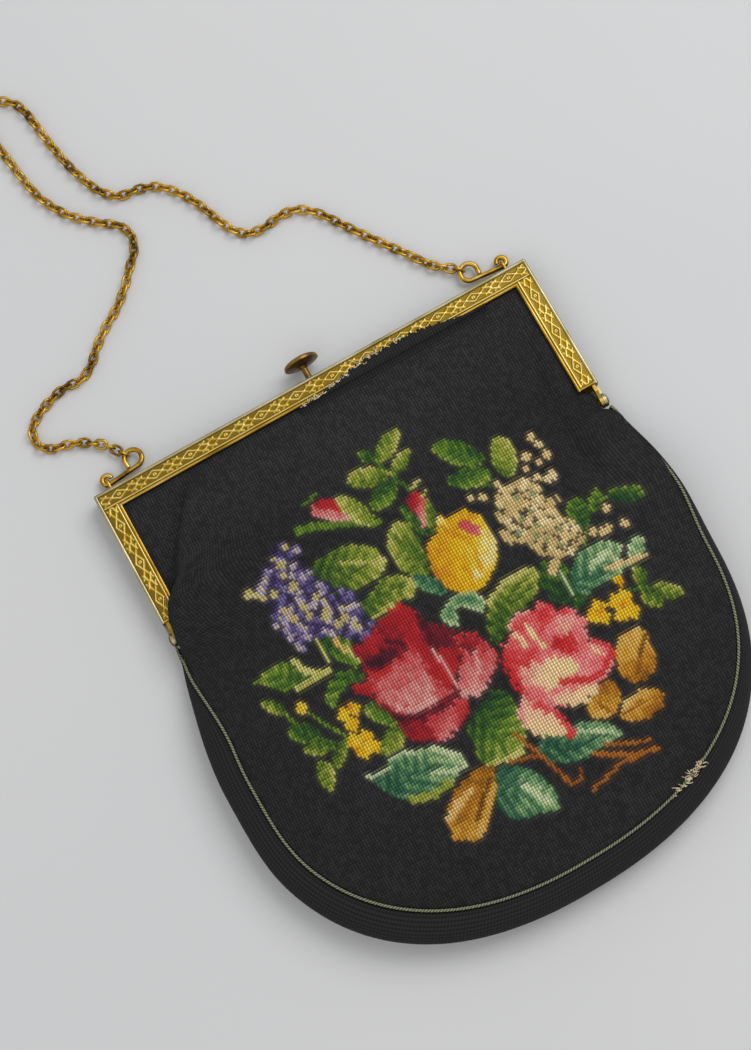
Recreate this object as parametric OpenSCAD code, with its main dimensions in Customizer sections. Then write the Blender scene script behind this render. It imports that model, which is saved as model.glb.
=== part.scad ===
// Evening purse: a needlework pouch on a stamped gilt frame, with a push-knob clasp and a link chain.
// It lies on its back: X runs along the top bar, +Y from the bag's bottom to the knob, +Z out of the front.

/* [Frame] */
// Width of the frame over its two arms
frame_w = 180; // [150:1:230]
// Height from the top edge of the frame down to the hinge axis
arm_len = 60; // [50:1:75]
// Width of the decorated band on the bar and the arms
band_w = 8; // [7.6:0.1:10]
// Depth of each half of the frame, front to middle
half_depth = 4.6; // [4.4:0.1:6]
// Thickness of the sheet metal
plate_t = 0.9; // [0.7:0.1:1.1]
// Width of the round rim along the outer edge
rim_w = 1.3; // [0.9:0.1:1.6]
// Width of the beaded lip along the inner edge
lip_w = 1.2; // [0.8:0.1:1.5]
// Height of the rim and the lip above the band
bead_h = 0.5; // [0.45:0.05:0.6]
// Radius of the frame's two upper corners
corner_r = 1; // [0.6:0.1:2]
// Distance from the hinge axis up to the end of the decorated band
band_end = 6; // [5:0.5:9]
// Thickness of the decorated strip set into the band
strip_t = 0.25; // [0.15:0.05:0.3]
// Distance from one diamond of the ornament to the next
motif_pitch = 14.5; // [10:0.5:20]
// Distance from the middle of the bar to the small stop on its top edge
stop_x = 45; // [30:1:60]
// Diameter of the small stop
stop_d = 2.2; // [1.6:0.1:2.8]
// Height of the small stop above the top edge
stop_h = 0.7; // [0.4:0.1:1.2]

/* [Hinges] */
// Diameter of the hinge pins
pin_d = 2; // [1.6:0.1:2.4]
// Radius of the hinge ears
ear_r = 2.6; // [2.2:0.1:3]
// Thickness of each hinge ear
ear_t = 1.2; // [0.9:0.1:1.4]
// Diameter of the round heads of the hinge pins
pin_head_d = 3.8; // [3:0.1:4.6]
// Thickness of the heads of the hinge pins
pin_head_t = 0.7; // [0.5:0.1:1]

/* [Clasp] */
// Diameter of the knob's cap
knob_d = 13.5; // [10:0.5:14]
// Height of the knob above the top edge of the frame
knob_rise = 9; // [8:0.5:12]
// Height of the cap from the flare on its stem to its top
cap_h = 3.6; // [3:0.1:4.5]
// Thickness of the cap's rim
cap_rim_t = 0.8; // [0.5:0.1:1.2]
// Diameter of the knob's stem
stem_d = 2.4; // [2:0.1:2.6]
// Diameter of the collar that keeps the knob in the frame
collar_d = 3.4; // [3.2:0.1:3.6]
// Thickness of the collar, the latch and the guide
leaf_t = 0.7; // [0.5:0.1:0.8]
// Width of the latch
latch_w = 5; // [4:0.5:8]
// How far the latch reaches into the rear half
latch_reach = 2.2; // [1.8:0.1:2.8]
// Diameter of the spring's wire
spring_wire = 0.3; // [0.25:0.05:0.35]
// Travel of the knob
press = 1.2; // [0.8:0.1:1.2]

/* [Chain] */
// Inner length of a chain link
link_in = 3.4; // [3.3:0.1:3.6]
// Outer width of a chain link
link_w = 4.3; // [4.2:0.1:4.5]
// Diameter of the chain's wire
link_wire = 1.1; // [1:0.05:1.1]
// Diameter of the wire of the chain's end rings
ring_wire = 0.9; // [0.8:0.05:0.95]
// Diameter of the hooks' wire
hook_wire = 1.9; // [1.5:0.1:2]
// Radius of a hook's eye, to the middle of the wire
eye_r = 3.3; // [2.9:0.1:3.6]
// Distance from the lug to the middle of the hook's eye
hook_len = 12.4; // [11:0.2:16]
// How far the hooks are turned up from the bar, in degrees
hook_turn = 5; // [0:1:8]
// Distance from the end of the bar to the lug
lug_inset = 7; // [6:0.5:12]
// Diameter of the lugs' wire
lug_wire = 1.1; // [0.9:0.1:1.3]
// Height of a lug above the top edge, to the middle of its wire
lug_h = 5; // [4:0.1:5.4]

/* [Bag] */
// How far the bag stands out beyond the frame on each side, at its widest place
belly_out = 8; // [4:0.5:16]
// Height from the top edge of the frame to the bag's bottom
bag_h = 210; // [190:1:240]
// Distance from the top edge of the frame down to the widest place
widest = 121; // [105:1:135]
// How much narrower each shoulder is than the widest place
shoulder_in = 9.5; // [5:0.5:15]
// Height of the front panel's crown above the table
bag_depth = 27; // [24:0.5:36]
// Height of the front seam above the table
seam_h = 18; // [15:0.5:22]
// How far the seams lie inside the widest line of the gusset
seam_in = 6; // [4:0.5:9]
// Thickness of the needlework panels and the gusset
cloth_t = 1.2; // [0.8:0.1:1.4]
// Diameter of the piping in the seams
piping_d = 2; // [1.4:0.1:2.4]
// Thickness of the lining
lining_t = 0.4; // [0.3:0.1:0.6]
// How far the panels reach under the lip of the frame
lap = 0.8; // [0.5:0.1:1.2]

/* [Clearances] */
// Gap between the two closed halves of the frame
half_gap = 0.3; // [0.2:0.05:0.4]
// Gap between soft pieces and their neighbours
soft_gap = 0.3; // [0.2:0.05:0.4]
// Gap between pieces that slide or turn on flat faces
slide_gap = 0.15; // [0.1:0.05:0.2]
// Gap around pins and stems that run in bores
run_gap = 0.05; // [0.02:0.01:0.08]
// Gap between pieces that are fixed together
seat_gap = 0.03; // [0.02:0.01:0.05]
// Gap between the two parts of the front panel
split_gap = 0.9; // [0.6:0.1:1]

/* [Hidden] */
$fn = 48;

// Colours of the materials
GILT = [0.72, 0.6, 0.28];
DARK_GILT = [0.5, 0.4, 0.18];
STEEL = [0.55, 0.55, 0.55];
BLACK_CLOTH = [0.13, 0.12, 0.12];
OLIVE = [0.35, 0.38, 0.22];
CREAM = [0.8, 0.75, 0.65];

// Main heights and places: v is measured down from the top edge of the frame
y_top = (bag_h - knob_rise) / 2;
function at(v) = y_top - v;
face_z = half_gap / 2 + half_depth;
mid_z = face_z + bead_h;
hinge_y = at(arm_len);
plate_in = face_z - plate_t;
frame_x = frame_w / 2;
ear_rear_x = frame_x - ear_t;
ear_front_x = ear_rear_x - slide_gap - ear_t;
ear_lap = 4;
ear_arm = band_end + ear_lap;
ear_taper = 3.5;
ear_foot = 0.75 * ear_r;

// The ornament stays below the tops of the rim and the lip
relief_h = bead_h - strip_t - 2 * seat_gap;

// Places of the clasp, down from the top edge and out from the middle plane
spring_turns = 4;
spring_len = press + (spring_turns + 1) * spring_wire;
knob_z = half_gap / 2 + (half_depth - plate_t) / 2;
collar_v = plate_t + slide_gap;
latch_v = collar_v + leaf_t + seat_gap;
spring_v = latch_v + leaf_t + seat_gap;
guide_v = spring_v + spring_len + seat_gap;

// Shape of the cloth
bag_w = frame_w + 2 * belly_out;
shoulder_power = 3.1;
round_power = 2.4;
crown_power = 2.6;
piping_r = piping_d / 2;
panel_in = piping_r + soft_gap;
mouth_top_v = band_w - lap;
split_up = 25;
split_v = arm_len - split_up;
gusset_drop = 4;
gusset_v = arm_len + gusset_drop;
seam_run = 45;
under_lip_z = mid_z + plate_in - 2 * soft_gap;
hinge_edge_rise = 2;
hinge_edge_z = mid_z + hinge_edge_rise;
edge_fall = 12;
edge_rise = 40;
rise_v = arm_len + 3;
back_in_z = bead_h + plate_t + soft_gap;
back_ramp = 22;
shoulder_steps = 6;
round_steps = 12;
side_steps = shoulder_steps + round_steps;
panel_cols = 16;

function smooth(t) = let (c = min(max(t, 0), 1)) c * c * (3 - 2 * c);
function mix(a, b, t) = a + (b - a) * t;

// Half width of the outline at v on the shoulder, drawn in by d and by e more; d grows from the hinge down
function shoulder_x(v, d, e) =
    let (fall = shoulder_in * pow((widest - v) / (widest - arm_len), shoulder_power))
    bag_w / 2 - e - d * smooth((v - gusset_v) / seam_run) - fall;

// Station k of one side, from the hinge to the bottom, drawn in by d and e: half width and v
function side_point(k, d, e) =
    k <= shoulder_steps
    ? let (v = mix(gusset_v, widest, k / shoulder_steps)) [shoulder_x(v, d, e), v]
    : let (a = 90 * (k - shoulder_steps) / round_steps)
      [(bag_w / 2 - d - e) * pow(max(cos(a), 0), 2 / round_power),
       widest + (bag_h - widest - d - e) * pow(sin(a), 2 / round_power)];

// Station k of the whole outline, from the left hinge round the bottom to the right hinge
function outline_point(k, d, e) =
    let (left = k <= side_steps, p = side_point(left ? k : 2 * side_steps - k, d, e))
    [left ? -p.x : p.x, at(p.y)];

// Height of the front panel's top face along its side edges
function front_edge_z(v) =
    v < rise_v
    ? mix(under_lip_z, hinge_edge_z, smooth((v - arm_len + edge_fall) / edge_fall))
    : mix(hinge_edge_z, seam_h, smooth((v - rise_v) / edge_rise));

// Height of the front panel's top face along its middle line
crown_v = 118;
rise_power = 1.2;
fall_power = 2.2;
function front_crown_z(v) =
    v < crown_v
    ? mix(under_lip_z, bag_depth, pow(sin(90 * (v - mouth_top_v) / (crown_v - mouth_top_v)), rise_power))
    : mix(bag_depth, seam_h, pow(min((v - crown_v) / (bag_h - seam_in - panel_in - crown_v), 1), fall_power));

// Height of the front panel's top face at v and the share s of the half width
function front_z(v, s) =
    let (e = front_edge_z(v)) e + (front_crown_z(v) - e) * (1 - pow(abs(s), crown_power));

// Height of the back panel's lower face at v
function back_z(v) = back_in_z * (1 - smooth((v - arm_len) / back_ramp));

// Rows of the front panel: half width and v, between the arms and below them
panel_x = frame_x - band_w + lap;
function arm_rows(v1, v2, n) = [for (i = [0:n]) [panel_x, mix(v1, v2, i / n)]];
lower_rows = concat(
    arm_rows(split_v + split_gap / 2, arm_len, 4),
    [for (k = [0:side_steps - 1]) side_point(k, seam_in, panel_in)]);
mouth_rows = arm_rows(mouth_top_v, split_v - split_gap / 2, 5);

// Faces that close a row of rings, each with n points, with a cap at either end
function ring_faces(rings, n) = concat(
    [for (r = [0:rings - 2], i = [0:n - 1])
        let (a = r * n + i, b = r * n + (i + 1) % n) [a, b, b + n, a + n]],
    [[for (i = [n - 1:-1:0]) i]],
    [[for (i = [0:n - 1]) (rings - 1) * n + i]]);

// A sheet under the front surface: its top face lies drop below it, and rows give its outline
module front_sheet(rows, drop, thick, inset) {
    rings = [for (row = rows)
        let (w = row.x - inset, v = row.y)
        concat(
            [for (i = [0:panel_cols])
                let (s = 2 * i / panel_cols - 1) [s * w, at(v), front_z(v, s * w / row.x) - drop]],
            [for (i = [panel_cols:-1:0])
                let (s = 2 * i / panel_cols - 1)
                [s * w, at(v), front_z(v, s * w / row.x) - drop - thick]])];
    polyhedron(
        points = [for (ring = rings) each ring],
        faces = sheet_faces(len(rings), panel_cols + 1));
}

// Faces of a sheet whose rings hold a top row and a bottom row of n points each
function sheet_faces(rings, n) = concat(
    [for (r = [0:rings - 2], i = [0:2 * n - 1])
        let (a = r * 2 * n + i, b = r * 2 * n + (i + 1) % (2 * n)) [a, b, b + 2 * n, a + 2 * n]],
    [for (i = [0:n - 2]) [i + 1, i, 2 * n - 1 - i, 2 * n - 2 - i]],
    [for (i = [0:n - 2])
        let (o = (rings - 1) * 2 * n) [o + i, o + i + 1, o + 2 * n - 2 - i, o + 2 * n - 1 - i]]);

// A tube of piping along the seam, with its middle at the given heights
piping_sides = 8;
module piping(heights) {
    rings = 2 * side_steps + 1;
    polyhedron(
        points = [for (k = [0:rings - 1], i = [0:piping_sides - 1])
            let (a = 360 * i / piping_sides, p = outline_point(k, seam_in, -piping_r * cos(a)))
            [p.x, p.y, heights[k] + piping_r * sin(a)]],
        faces = ring_faces(rings, piping_sides));
}
function station_v(k) = side_point(k <= side_steps ? k : 2 * side_steps - k, seam_in, 0).y;
front_seam_z = [for (k = [0:2 * side_steps]) front_edge_z(station_v(k)) - piping_r];
back_seam_z = [for (k = [0:2 * side_steps]) back_z(station_v(k)) + piping_r];

// Plan of one frame half: a U with two round upper corners
module frame_plan() {
    low = at(arm_len - band_end);
    difference() {
        union() {
            translate([-frame_x, low]) square([frame_w, y_top - corner_r - low]);
            translate([-frame_x + corner_r, low]) square([frame_w - 2 * corner_r, y_top - low]);
            for (side = [-1, 1])
                translate([side * (frame_x - corner_r), y_top - corner_r]) circle(corner_r);
        }
        translate([-frame_x + band_w, low - 1]) square([frame_w - 2 * band_w, y_top - band_w - low + 1]);
    }
}

// A round bead that runs along the U at the distance d from the outer edge
module bead(d, r) {
    low = at(arm_len - band_end);
    x = frame_x - d;
    y = y_top - d;
    translate([-x, y, 0]) rotate([0, 90, 0]) cylinder(r = r, h = 2 * x);
    for (side = [-1, 1]) {
        translate([side * x, low, 0]) rotate([-90, 0, 0]) cylinder(r = r, h = y - low);
        translate([side * x, y, 0]) sphere(r);
    }
}

// One stamped half of the frame, with its face up and the middle plane at z = 0
module frame_half() {
    low = at(arm_len - band_end);
    hollow_h = plate_in - half_gap / 2;
    difference() {
        translate([0, 0, half_gap / 2]) linear_extrude(half_depth) frame_plan();
        translate([-frame_x + plate_t, low - 1, half_gap / 2 - 1])
            cube([frame_w - 2 * plate_t, y_top - plate_t - low + 1, hollow_h + 1]);
    }
    translate([0, 0, face_z + bead_h - rim_w / 2]) bead(rim_w / 2, rim_w / 2);
    translate([0, 0, face_z + bead_h - lip_w / 2]) bead(band_w - lip_w / 2, lip_w / 2);
    for (side = [-1, 1])
        translate([side * (frame_x - band_w / 2) - band_w / 2 + rim_w / 2, low + bead_h, face_z])
            rotate([0, 90, 0]) cylinder(r = bead_h, h = band_w - rim_w / 2 - lip_w / 2);
}

// A hinge ear from x to x + ear_t, with an arm that tapers from the band to the round end
module ear(x) {
    z1 = half_gap / 2;
    z2 = plate_in + plate_t / 2;
    translate([x, hinge_y, 0]) {
        rotate([0, 90, 0]) cylinder(r = ear_r, h = ear_t);
        rotate([90, 0, 90]) linear_extrude(ear_t)
            polygon([[0, z1], [ear_arm, z1], [ear_arm, z2], [ear_taper, z2], [0, ear_foot]]);
    }
}

module hinge_bore() {
    translate([-frame_x - 1, hinge_y, 0]) rotate([0, 90, 0])
        cylinder(d = pin_d + 2 * run_gap, h = frame_w + 2);
}

module rear_frame() {
    color(GILT) translate([0, 0, mid_z]) {
        difference() {
            mirror([0, 0, 1]) {
                frame_half();
                for (side = [0, 1]) mirror([side, 0, 0]) ear(ear_rear_x);
            }
            hinge_bore();
        }
        translate([stop_x, y_top, -half_gap / 2 - half_depth / 2])
            rotate([-90, 0, 0]) cylinder(d = stop_d, h = stop_h);
    }
}

module front_frame() {
    color(GILT) translate([0, 0, mid_z]) difference() {
        union() {
            frame_half();
            for (side = [0, 1]) mirror([side, 0, 0]) ear(ear_front_x);
        }
        hinge_bore();
        translate([0, y_top - plate_t - 1, knob_z])
            rotate([-90, 0, 0]) cylinder(d = stem_d + 2 * run_gap, h = plate_t + 2);
    }
}

// A diamond of the given half length and half width
module diamond(l, w) {
    polygon([[-l, 0], [0, -w], [l, 0], [0, w]]);
}

// The ornament along a run of the given length: open diamonds with a round boss, and leaves between them
module ornament_run(length, width) {
    count = max(1, floor(length / motif_pitch));
    step = length / count;
    margin = 0.25;
    half = width / 2 - margin;
    boss = half / 3;
    long = 1.6;
    hole_l = 1.05;
    hole_w = 0.62;
    leaf_place = 3.2;
    leaf_turn = 24;
    for (i = [0:count - 1]) translate([(i + 0.5) * step, 0]) {
        difference() {
            diamond(long * half, half);
            diamond(hole_l * half, hole_w * half);
        }
        circle(boss);
        for (side = [-1, 1]) translate([side * step / leaf_place, 0]) {
            translate([0, half / 2]) rotate(side * leaf_turn) diamond(half, boss);
            translate([0, -half / 2]) rotate(-side * leaf_turn) diamond(half, boss);
        }
    }
}

// The decorated strip on one half, seen from its face
module ornament() {
    inner = band_w - rim_w - lip_w - 2 * seat_gap;
    edge = rim_w + seat_gap;
    low = at(arm_len - band_end) + 2 * bead_h;
    bar_l = frame_w - 2 * band_w;
    arm_l = y_top - band_w - low;
    bar_y = y_top - edge - inner;
    translate([-frame_x + edge, bar_y, 0]) cube([frame_w - 2 * edge, inner, strip_t]);
    for (side = [-1, 1])
        translate([side * (frame_x - edge - inner / 2) - inner / 2, low, 0])
            cube([inner, bar_y - low, strip_t]);
    linear_extrude(strip_t + relief_h) {
        translate([-bar_l / 2, bar_y + inner / 2]) ornament_run(bar_l, inner);
        for (side = [-1, 1])
            translate([side * (frame_x - edge - inner / 2), low]) rotate(90) ornament_run(arm_l, inner);
    }
}

module front_ornament() {
    color(DARK_GILT) translate([0, 0, mid_z + face_z + seat_gap]) ornament();
}

module rear_ornament() {
    color(DARK_GILT) translate([0, 0, mid_z - face_z - seat_gap]) mirror([0, 0, 1]) ornament();
}

// A riveted pin through both ears of the right hinge
module hinge_pin() {
    inner_x = ear_front_x - slide_gap;
    outer_x = frame_x + seat_gap;
    inner_head_d = 0.8 * pin_head_d;
    top_d = 0.6 * pin_head_d;
    translate([0, hinge_y, mid_z]) rotate([0, 90, 0]) {
        translate([0, 0, inner_x]) cylinder(d = pin_d, h = outer_x - inner_x);
        translate([0, 0, inner_x - pin_head_t]) cylinder(d = inner_head_d, h = pin_head_t);
        translate([0, 0, outer_x]) cylinder(d = pin_head_d, h = pin_head_t / 2);
        translate([0, 0, outer_x + pin_head_t / 2])
            cylinder(d1 = pin_head_d, d2 = top_d, h = pin_head_t / 2);
    }
}

module hinge_pin_left() {
    color(DARK_GILT) mirror([1, 0, 0]) hinge_pin();
}

module hinge_pin_right() {
    color(DARK_GILT) hinge_pin();
}

// Turns a shape made round Z into one round Y, on the axis of the knob, with z = 0 at the top edge
module on_knob_axis() {
    translate([0, y_top, mid_z + knob_z]) rotate([-90, 0, 0]) children();
}

// The mushroom knob: a domed cap on a flared stem, with a collar inside the bar
module clasp_knob() {
    cap_r = knob_d / 2;
    stem_r = stem_d / 2;
    flare_z = knob_rise - cap_h;
    flare_h = 1;
    flare_r = 1.6 * stem_r;
    rim_low = knob_rise - 0.7 * cap_h;
    rim_top = rim_low + cap_rim_t;
    dome = knob_rise - rim_top;
    foot = -guide_v - leaf_t / 4;
    color(GILT) on_knob_axis() {
        rotate_extrude() polygon(concat(
            [[0, foot], [stem_r, foot], [stem_r, -collar_v - leaf_t], [collar_d / 2, -collar_v - leaf_t],
             [collar_d / 2, -collar_v], [stem_r, -collar_v], [stem_r, flare_z - flare_h],
             [flare_r, flare_z], [cap_r, rim_low]],
            [for (a = [0:15:90]) [cap_r * cos(a), rim_top + dome * sin(a)]]));
    }
}

// The leaf that hooks the rear half; the knob's stem passes through it
module clasp_latch() {
    hole_r = stem_d / 2 + seat_gap;
    color(STEEL) difference() {
        translate([-latch_w / 2, at(latch_v + leaf_t), mid_z - latch_reach])
            cube([latch_w, leaf_t, latch_reach + knob_z + collar_d / 2]);
        on_knob_axis() translate([0, 0, -latch_v - leaf_t - 1]) cylinder(r = hole_r, h = leaf_t + 2);
    }
}

// The coil spring round the stem, between the guide and the latch
module clasp_spring() {
    sides = 6;
    per_turn = 12;
    coil_r = stem_d / 2 + run_gap + spring_wire;
    rise = spring_len - spring_wire;
    rings = spring_turns * per_turn + 1;
    color(STEEL) on_knob_axis() translate([0, 0, -guide_v + seat_gap + spring_wire / 2]) polyhedron(
        points = [for (k = [0:rings - 1], i = [0:sides - 1])
            let (t = 360 * k / per_turn, a = 360 * i / sides, r = coil_r + spring_wire / 2 * cos(a))
            [r * cos(t), r * sin(t), rise * k / (rings - 1) + spring_wire / 2 * sin(a)]],
        faces = [for (f = ring_faces(rings, sides)) [for (i = [len(f) - 1:-1:0]) f[i]]]);
}

// The bracket on the front half that guides the stem's foot and carries the spring
module clasp_guide() {
    guide_w = 2 * latch_w;
    color(DARK_GILT) difference() {
        translate([-guide_w / 2, at(guide_v + leaf_t), mid_z + half_gap / 2 + slide_gap])
            cube([guide_w, leaf_t, plate_in - half_gap / 2 - slide_gap - seat_gap]);
        on_knob_axis() translate([0, 0, -guide_v - leaf_t - 1])
            cylinder(d = stem_d + 2 * run_gap, h = leaf_t + 2);
    }
}

// The catch on the rear half that the latch snaps under
module clasp_striker() {
    catch_h = latch_v - plate_t - slide_gap;
    catch_t = latch_reach - half_gap / 2 - slide_gap;
    color(STEEL) translate([-latch_w / 2, at(plate_t + catch_h), mid_z - half_gap / 2 - catch_t])
        cube([latch_w, catch_h - seat_gap, catch_t]);
}

// Height of the lugs, hooks and rings over the table
lug_z = mid_z - half_gap / 2 - half_depth / 2;
lug_x = frame_x - lug_inset;
lug_r = (hook_wire + lug_wire) / 2 + slide_gap;
tail_r = (lug_wire + hook_wire) / 2 + 2 * slide_gap;
eye_up = eye_r - tail_r;
eye_x = lug_x - hook_len * cos(hook_turn) + eye_up * sin(hook_turn);
eye_y = y_top + lug_h + hook_len * sin(hook_turn) + eye_up * cos(hook_turn);

// A wire staple on the top edge of the rear half
module chain_lug() {
    leg = lug_h - lug_r;
    translate([lug_x, y_top + leg, lug_z]) rotate([0, 90, 0]) {
        rotate_extrude(angle = 180) translate([lug_r, 0]) circle(d = lug_wire);
        for (side = [-1, 1])
            translate([side * lug_r, 0, 0]) rotate([90, 0, 0]) cylinder(d = lug_wire, h = leg - seat_gap);
    }
}

module chain_lug_left() {
    color(GILT) mirror([1, 0, 0]) chain_lug();
}

module chain_lug_right() {
    color(GILT) chain_lug();
}

// An S-shaped wire hook: a curled tail round the lug, a shank and a closed eye
module chain_hook() {
    tail_turn = 275;
    eye_turn = 270;
    eye_end = eye_r - hook_wire / 2 - 2 * slide_gap;
    translate([lug_x, y_top + lug_h, lug_z]) rotate(-hook_turn) {
        rotate(-90) rotate_extrude(angle = tail_turn) translate([tail_r, 0]) circle(d = hook_wire);
        translate([-hook_len, -tail_r, 0]) rotate([0, 90, 0]) cylinder(d = hook_wire, h = hook_len);
        translate([-hook_len, eye_up, 0]) {
            rotate_extrude(angle = eye_turn) translate([eye_r, 0]) circle(d = hook_wire);
            translate([eye_r, 0, 0]) rotate([90, 0, 0]) cylinder(d = hook_wire, h = eye_end);
        }
    }
}

module chain_hook_left() {
    color(GILT) mirror([1, 0, 0]) chain_hook();
}

module chain_hook_right() {
    color(GILT) chain_hook();
}

// Places on the chain's route over the table, from the right hook to the left one
places = [
    [60, 118], [53, 128], [46, 138], [39, 148.5], [34, 156], [28, 161.5], [21, 163], [13.5, 162],
    [7, 163], [2.5, 167.5], [-0.5, 174], [-3.5, 182], [-8, 190], [-14, 196.5], [-21, 199.3],
    [-28, 200.5], [-33, 205], [-36.5, 212], [-39.5, 222], [-42, 236], [-43.3, 246], [-45.3, 252.5],
    [-50, 257], [-55.8, 256.5], [-59.3, 251.5], [-59.5, 244], [-58, 234], [-56.5, 223], [-54, 213.5],
    [-49, 204.5], [-43, 198], [-38, 193.8], [-33.5, 190], [-31.5, 184.5], [-33.5, 178.5], [-38, 173.5],
    [-43, 168], [-49, 162.5], [-56, 158], [-63, 152.5], [-68, 147.5], [-74, 144.5], [-81, 144.8],
    [-88, 143], [-94, 140.3], [-98.5, 136.5], [-99.3, 131], [-95.8, 126.8], [-89.5, 125], [-83, 122],
    [-77, 117.3]
];

// Height of the laid links, with a lift towards the hooks, where every other link stands upright
link_gap = 0.1;
lie_turn = 45;
lie_z = (link_w - link_wire) / 2 * sin(lie_turn) + link_wire / 2 + link_gap;
end_lift = 0.45;
lift_fall = 0.2;
laid = [for (i = [0:len(places) - 1])
    let (k = min(i, len(places) - 1 - i))
    [places[i].x, places[i].y, lie_z + max(0, end_lift - lift_fall * k)]];

// The chain's ends: a ring hangs in each hook's eye, and the first and last links hang in the rings
ring_in_r = (hook_wire + link_wire) / 2 + slide_gap;
ring_mid_r = ring_in_r + ring_wire / 2;
ring_reach = eye_r + ring_in_r - hook_wire / 2 - link_gap;
end_reach = ring_reach + ring_in_r - link_wire / 2 - link_gap + (link_in + link_wire) / 2;
right_eye = [eye_x, eye_y, lug_z];
left_eye = [-eye_x, eye_y, lug_z];
function unit(d) = d / norm(d);
function from_eye(eye, place, reach) = eye + unit(place - eye) * reach;
route = concat(
    [from_eye(right_eye, laid[0], end_reach)],
    laid,
    [from_eye(left_eye, laid[len(laid) - 1], end_reach)]);

// Points of a smooth curve through the route
curve_steps = 10;
function route_at(i) = route[min(max(i, 0), len(route) - 1)];
function curve_point(i, t) =
    let (a = route_at(i - 1), b = route_at(i), c = route_at(i + 1), d = route_at(i + 2))
    b + t / 2 * (c - a + t * (2 * a - 5 * b + 4 * c - d + t * (3 * (b - c) + d - a)));
curve = concat(
    [for (i = [0:len(route) - 2], j = [0:curve_steps - 1]) curve_point(i, j / curve_steps)],
    [route[len(route) - 1]]);
curve_last = len(curve) - 1;
travel = [
    for (i = 0, s = 0; i <= curve_last; s = s + norm(curve[min(i + 1, curve_last)] - curve[i]), i = i + 1) s
];
chain_len = travel[curve_last];
function along(s, axis) = lookup(s, [for (i = [0:curve_last]) [travel[i], curve[i][axis]]]);
function chain_point(s) = [along(s, 0), along(s, 1), along(s, 2)];

// Turns a shape that runs along X so that it runs along d
module point_along(d) {
    rotate([0, -atan2(d.z, norm([d.x, d.y])), atan2(d.y, d.x)]) children();
}

// A round ring that stands across the wire of a hook's eye
module chain_ring(eye, place) {
    color(GILT) translate(from_eye(eye, place, ring_reach)) point_along(place - eye) rotate([90, 0, 0])
        rotate_extrude() translate([ring_mid_r, 0]) circle(d = ring_wire);
}

module chain_ring_left() {
    chain_ring(left_eye, laid[len(laid) - 1]);
}

module chain_ring_right() {
    chain_ring(right_eye, laid[0]);
}

// One oval link along X
module link() {
    end_r = (link_w - link_wire) / 2;
    straight = link_in - link_w + 2 * link_wire;
    for (side = [-1, 1]) {
        translate([side * straight / 2, 0, 0]) rotate(-side * 90)
            rotate_extrude(angle = 180) translate([end_r, 0]) circle(d = link_wire);
        translate([-straight / 2, side * end_r, 0]) rotate([0, 90, 0]) cylinder(d = link_wire, h = straight);
    }
}

// The chain: an odd number of links along the route, each turned a quarter against the next;
// the two end links lie flat, across the rings that they hang in
module chain() {
    count = 2 * ceil(chain_len / (link_in - 2 * link_gap) / 2) + 1;
    step = chain_len / (count - 1);
    twist_links = 6;
    color(GILT) for (i = [0:count - 1]) {
        back = chain_point(max(i - 0.5, 0) * step);
        ahead = chain_point(min(i + 0.5, count - 1) * step);
        lie = lie_turn * min(1, min(i, count - 1 - i) / twist_links);
        translate(chain_point(i * step)) point_along(ahead - back)
            rotate([i % 2 == 0 ? lie : lie - 90, 0, 0]) link();
    }
}

// The crowned front panel below the frame
module front_panel() {
    color(BLACK_CLOTH) front_sheet(lower_rows, 0, cloth_t, 0);
}

// The upper part of the front panel, held in the front half of the frame
module front_panel_mouth() {
    color(BLACK_CLOTH) front_sheet(mouth_rows, 0, cloth_t, 0);
}

// Plan of the back panel: between the arms and down inside the back seam
module back_plan() {
    polygon(concat(
        [[-panel_x, at(mouth_top_v)], [-panel_x, at(arm_len)]],
        [for (k = [0:2 * side_steps]) outline_point(k, seam_in, panel_in)],
        [[panel_x, at(arm_len)], [panel_x, at(mouth_top_v)]]));
}

// The back panel: flat on the table, and stepped up into the rear half of the frame
module back_panel() {
    steps = 4;
    ramp = [for (i = [0:steps]) let (v = arm_len + back_ramp * i / steps) [at(v), back_z(v)]];
    low = concat([[at(0), back_in_z]], ramp, [[at(bag_h), 0]]);
    color(BLACK_CLOTH) intersection() {
        linear_extrude(2 * mid_z) back_plan();
        translate([-bag_w / 2, 0, 0]) rotate([90, 0, 90]) linear_extrude(bag_w) polygon(concat(
            low,
            [for (i = [len(low) - 1:-1:0]) low[i] + [0, cloth_t]]));
    }
}

// The gusset: a bulged band between the two seams, from one hinge round the bottom to the other
module gusset() {
    cuts = 6;
    rings = 2 * side_steps + 1;
    function profile(k, inner) = [for (i = [0:cuts])
        let (a = 180 * i / cuts,
             z1 = front_seam_z[k] - piping_r - soft_gap,
             z2 = back_seam_z[k] + piping_r + soft_gap,
             p = outline_point(k, seam_in * (1 - sin(a)), inner))
        [p.x, p.y, mix(z1, z2, (1 - cos(a)) / 2)]];
    function flip(list) = [for (i = [len(list) - 1:-1:0]) list[i]];
    color(BLACK_CLOTH) polyhedron(
        points = [for (k = [0:rings - 1]) each concat(profile(k, 0), flip(profile(k, cloth_t)))],
        faces = [for (f = sheet_faces(rings, cuts + 1)) flip(f)]);
}

module front_piping() {
    color(OLIVE) piping(front_seam_z);
}

module back_piping() {
    color(OLIVE) piping(back_seam_z);
}

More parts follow.
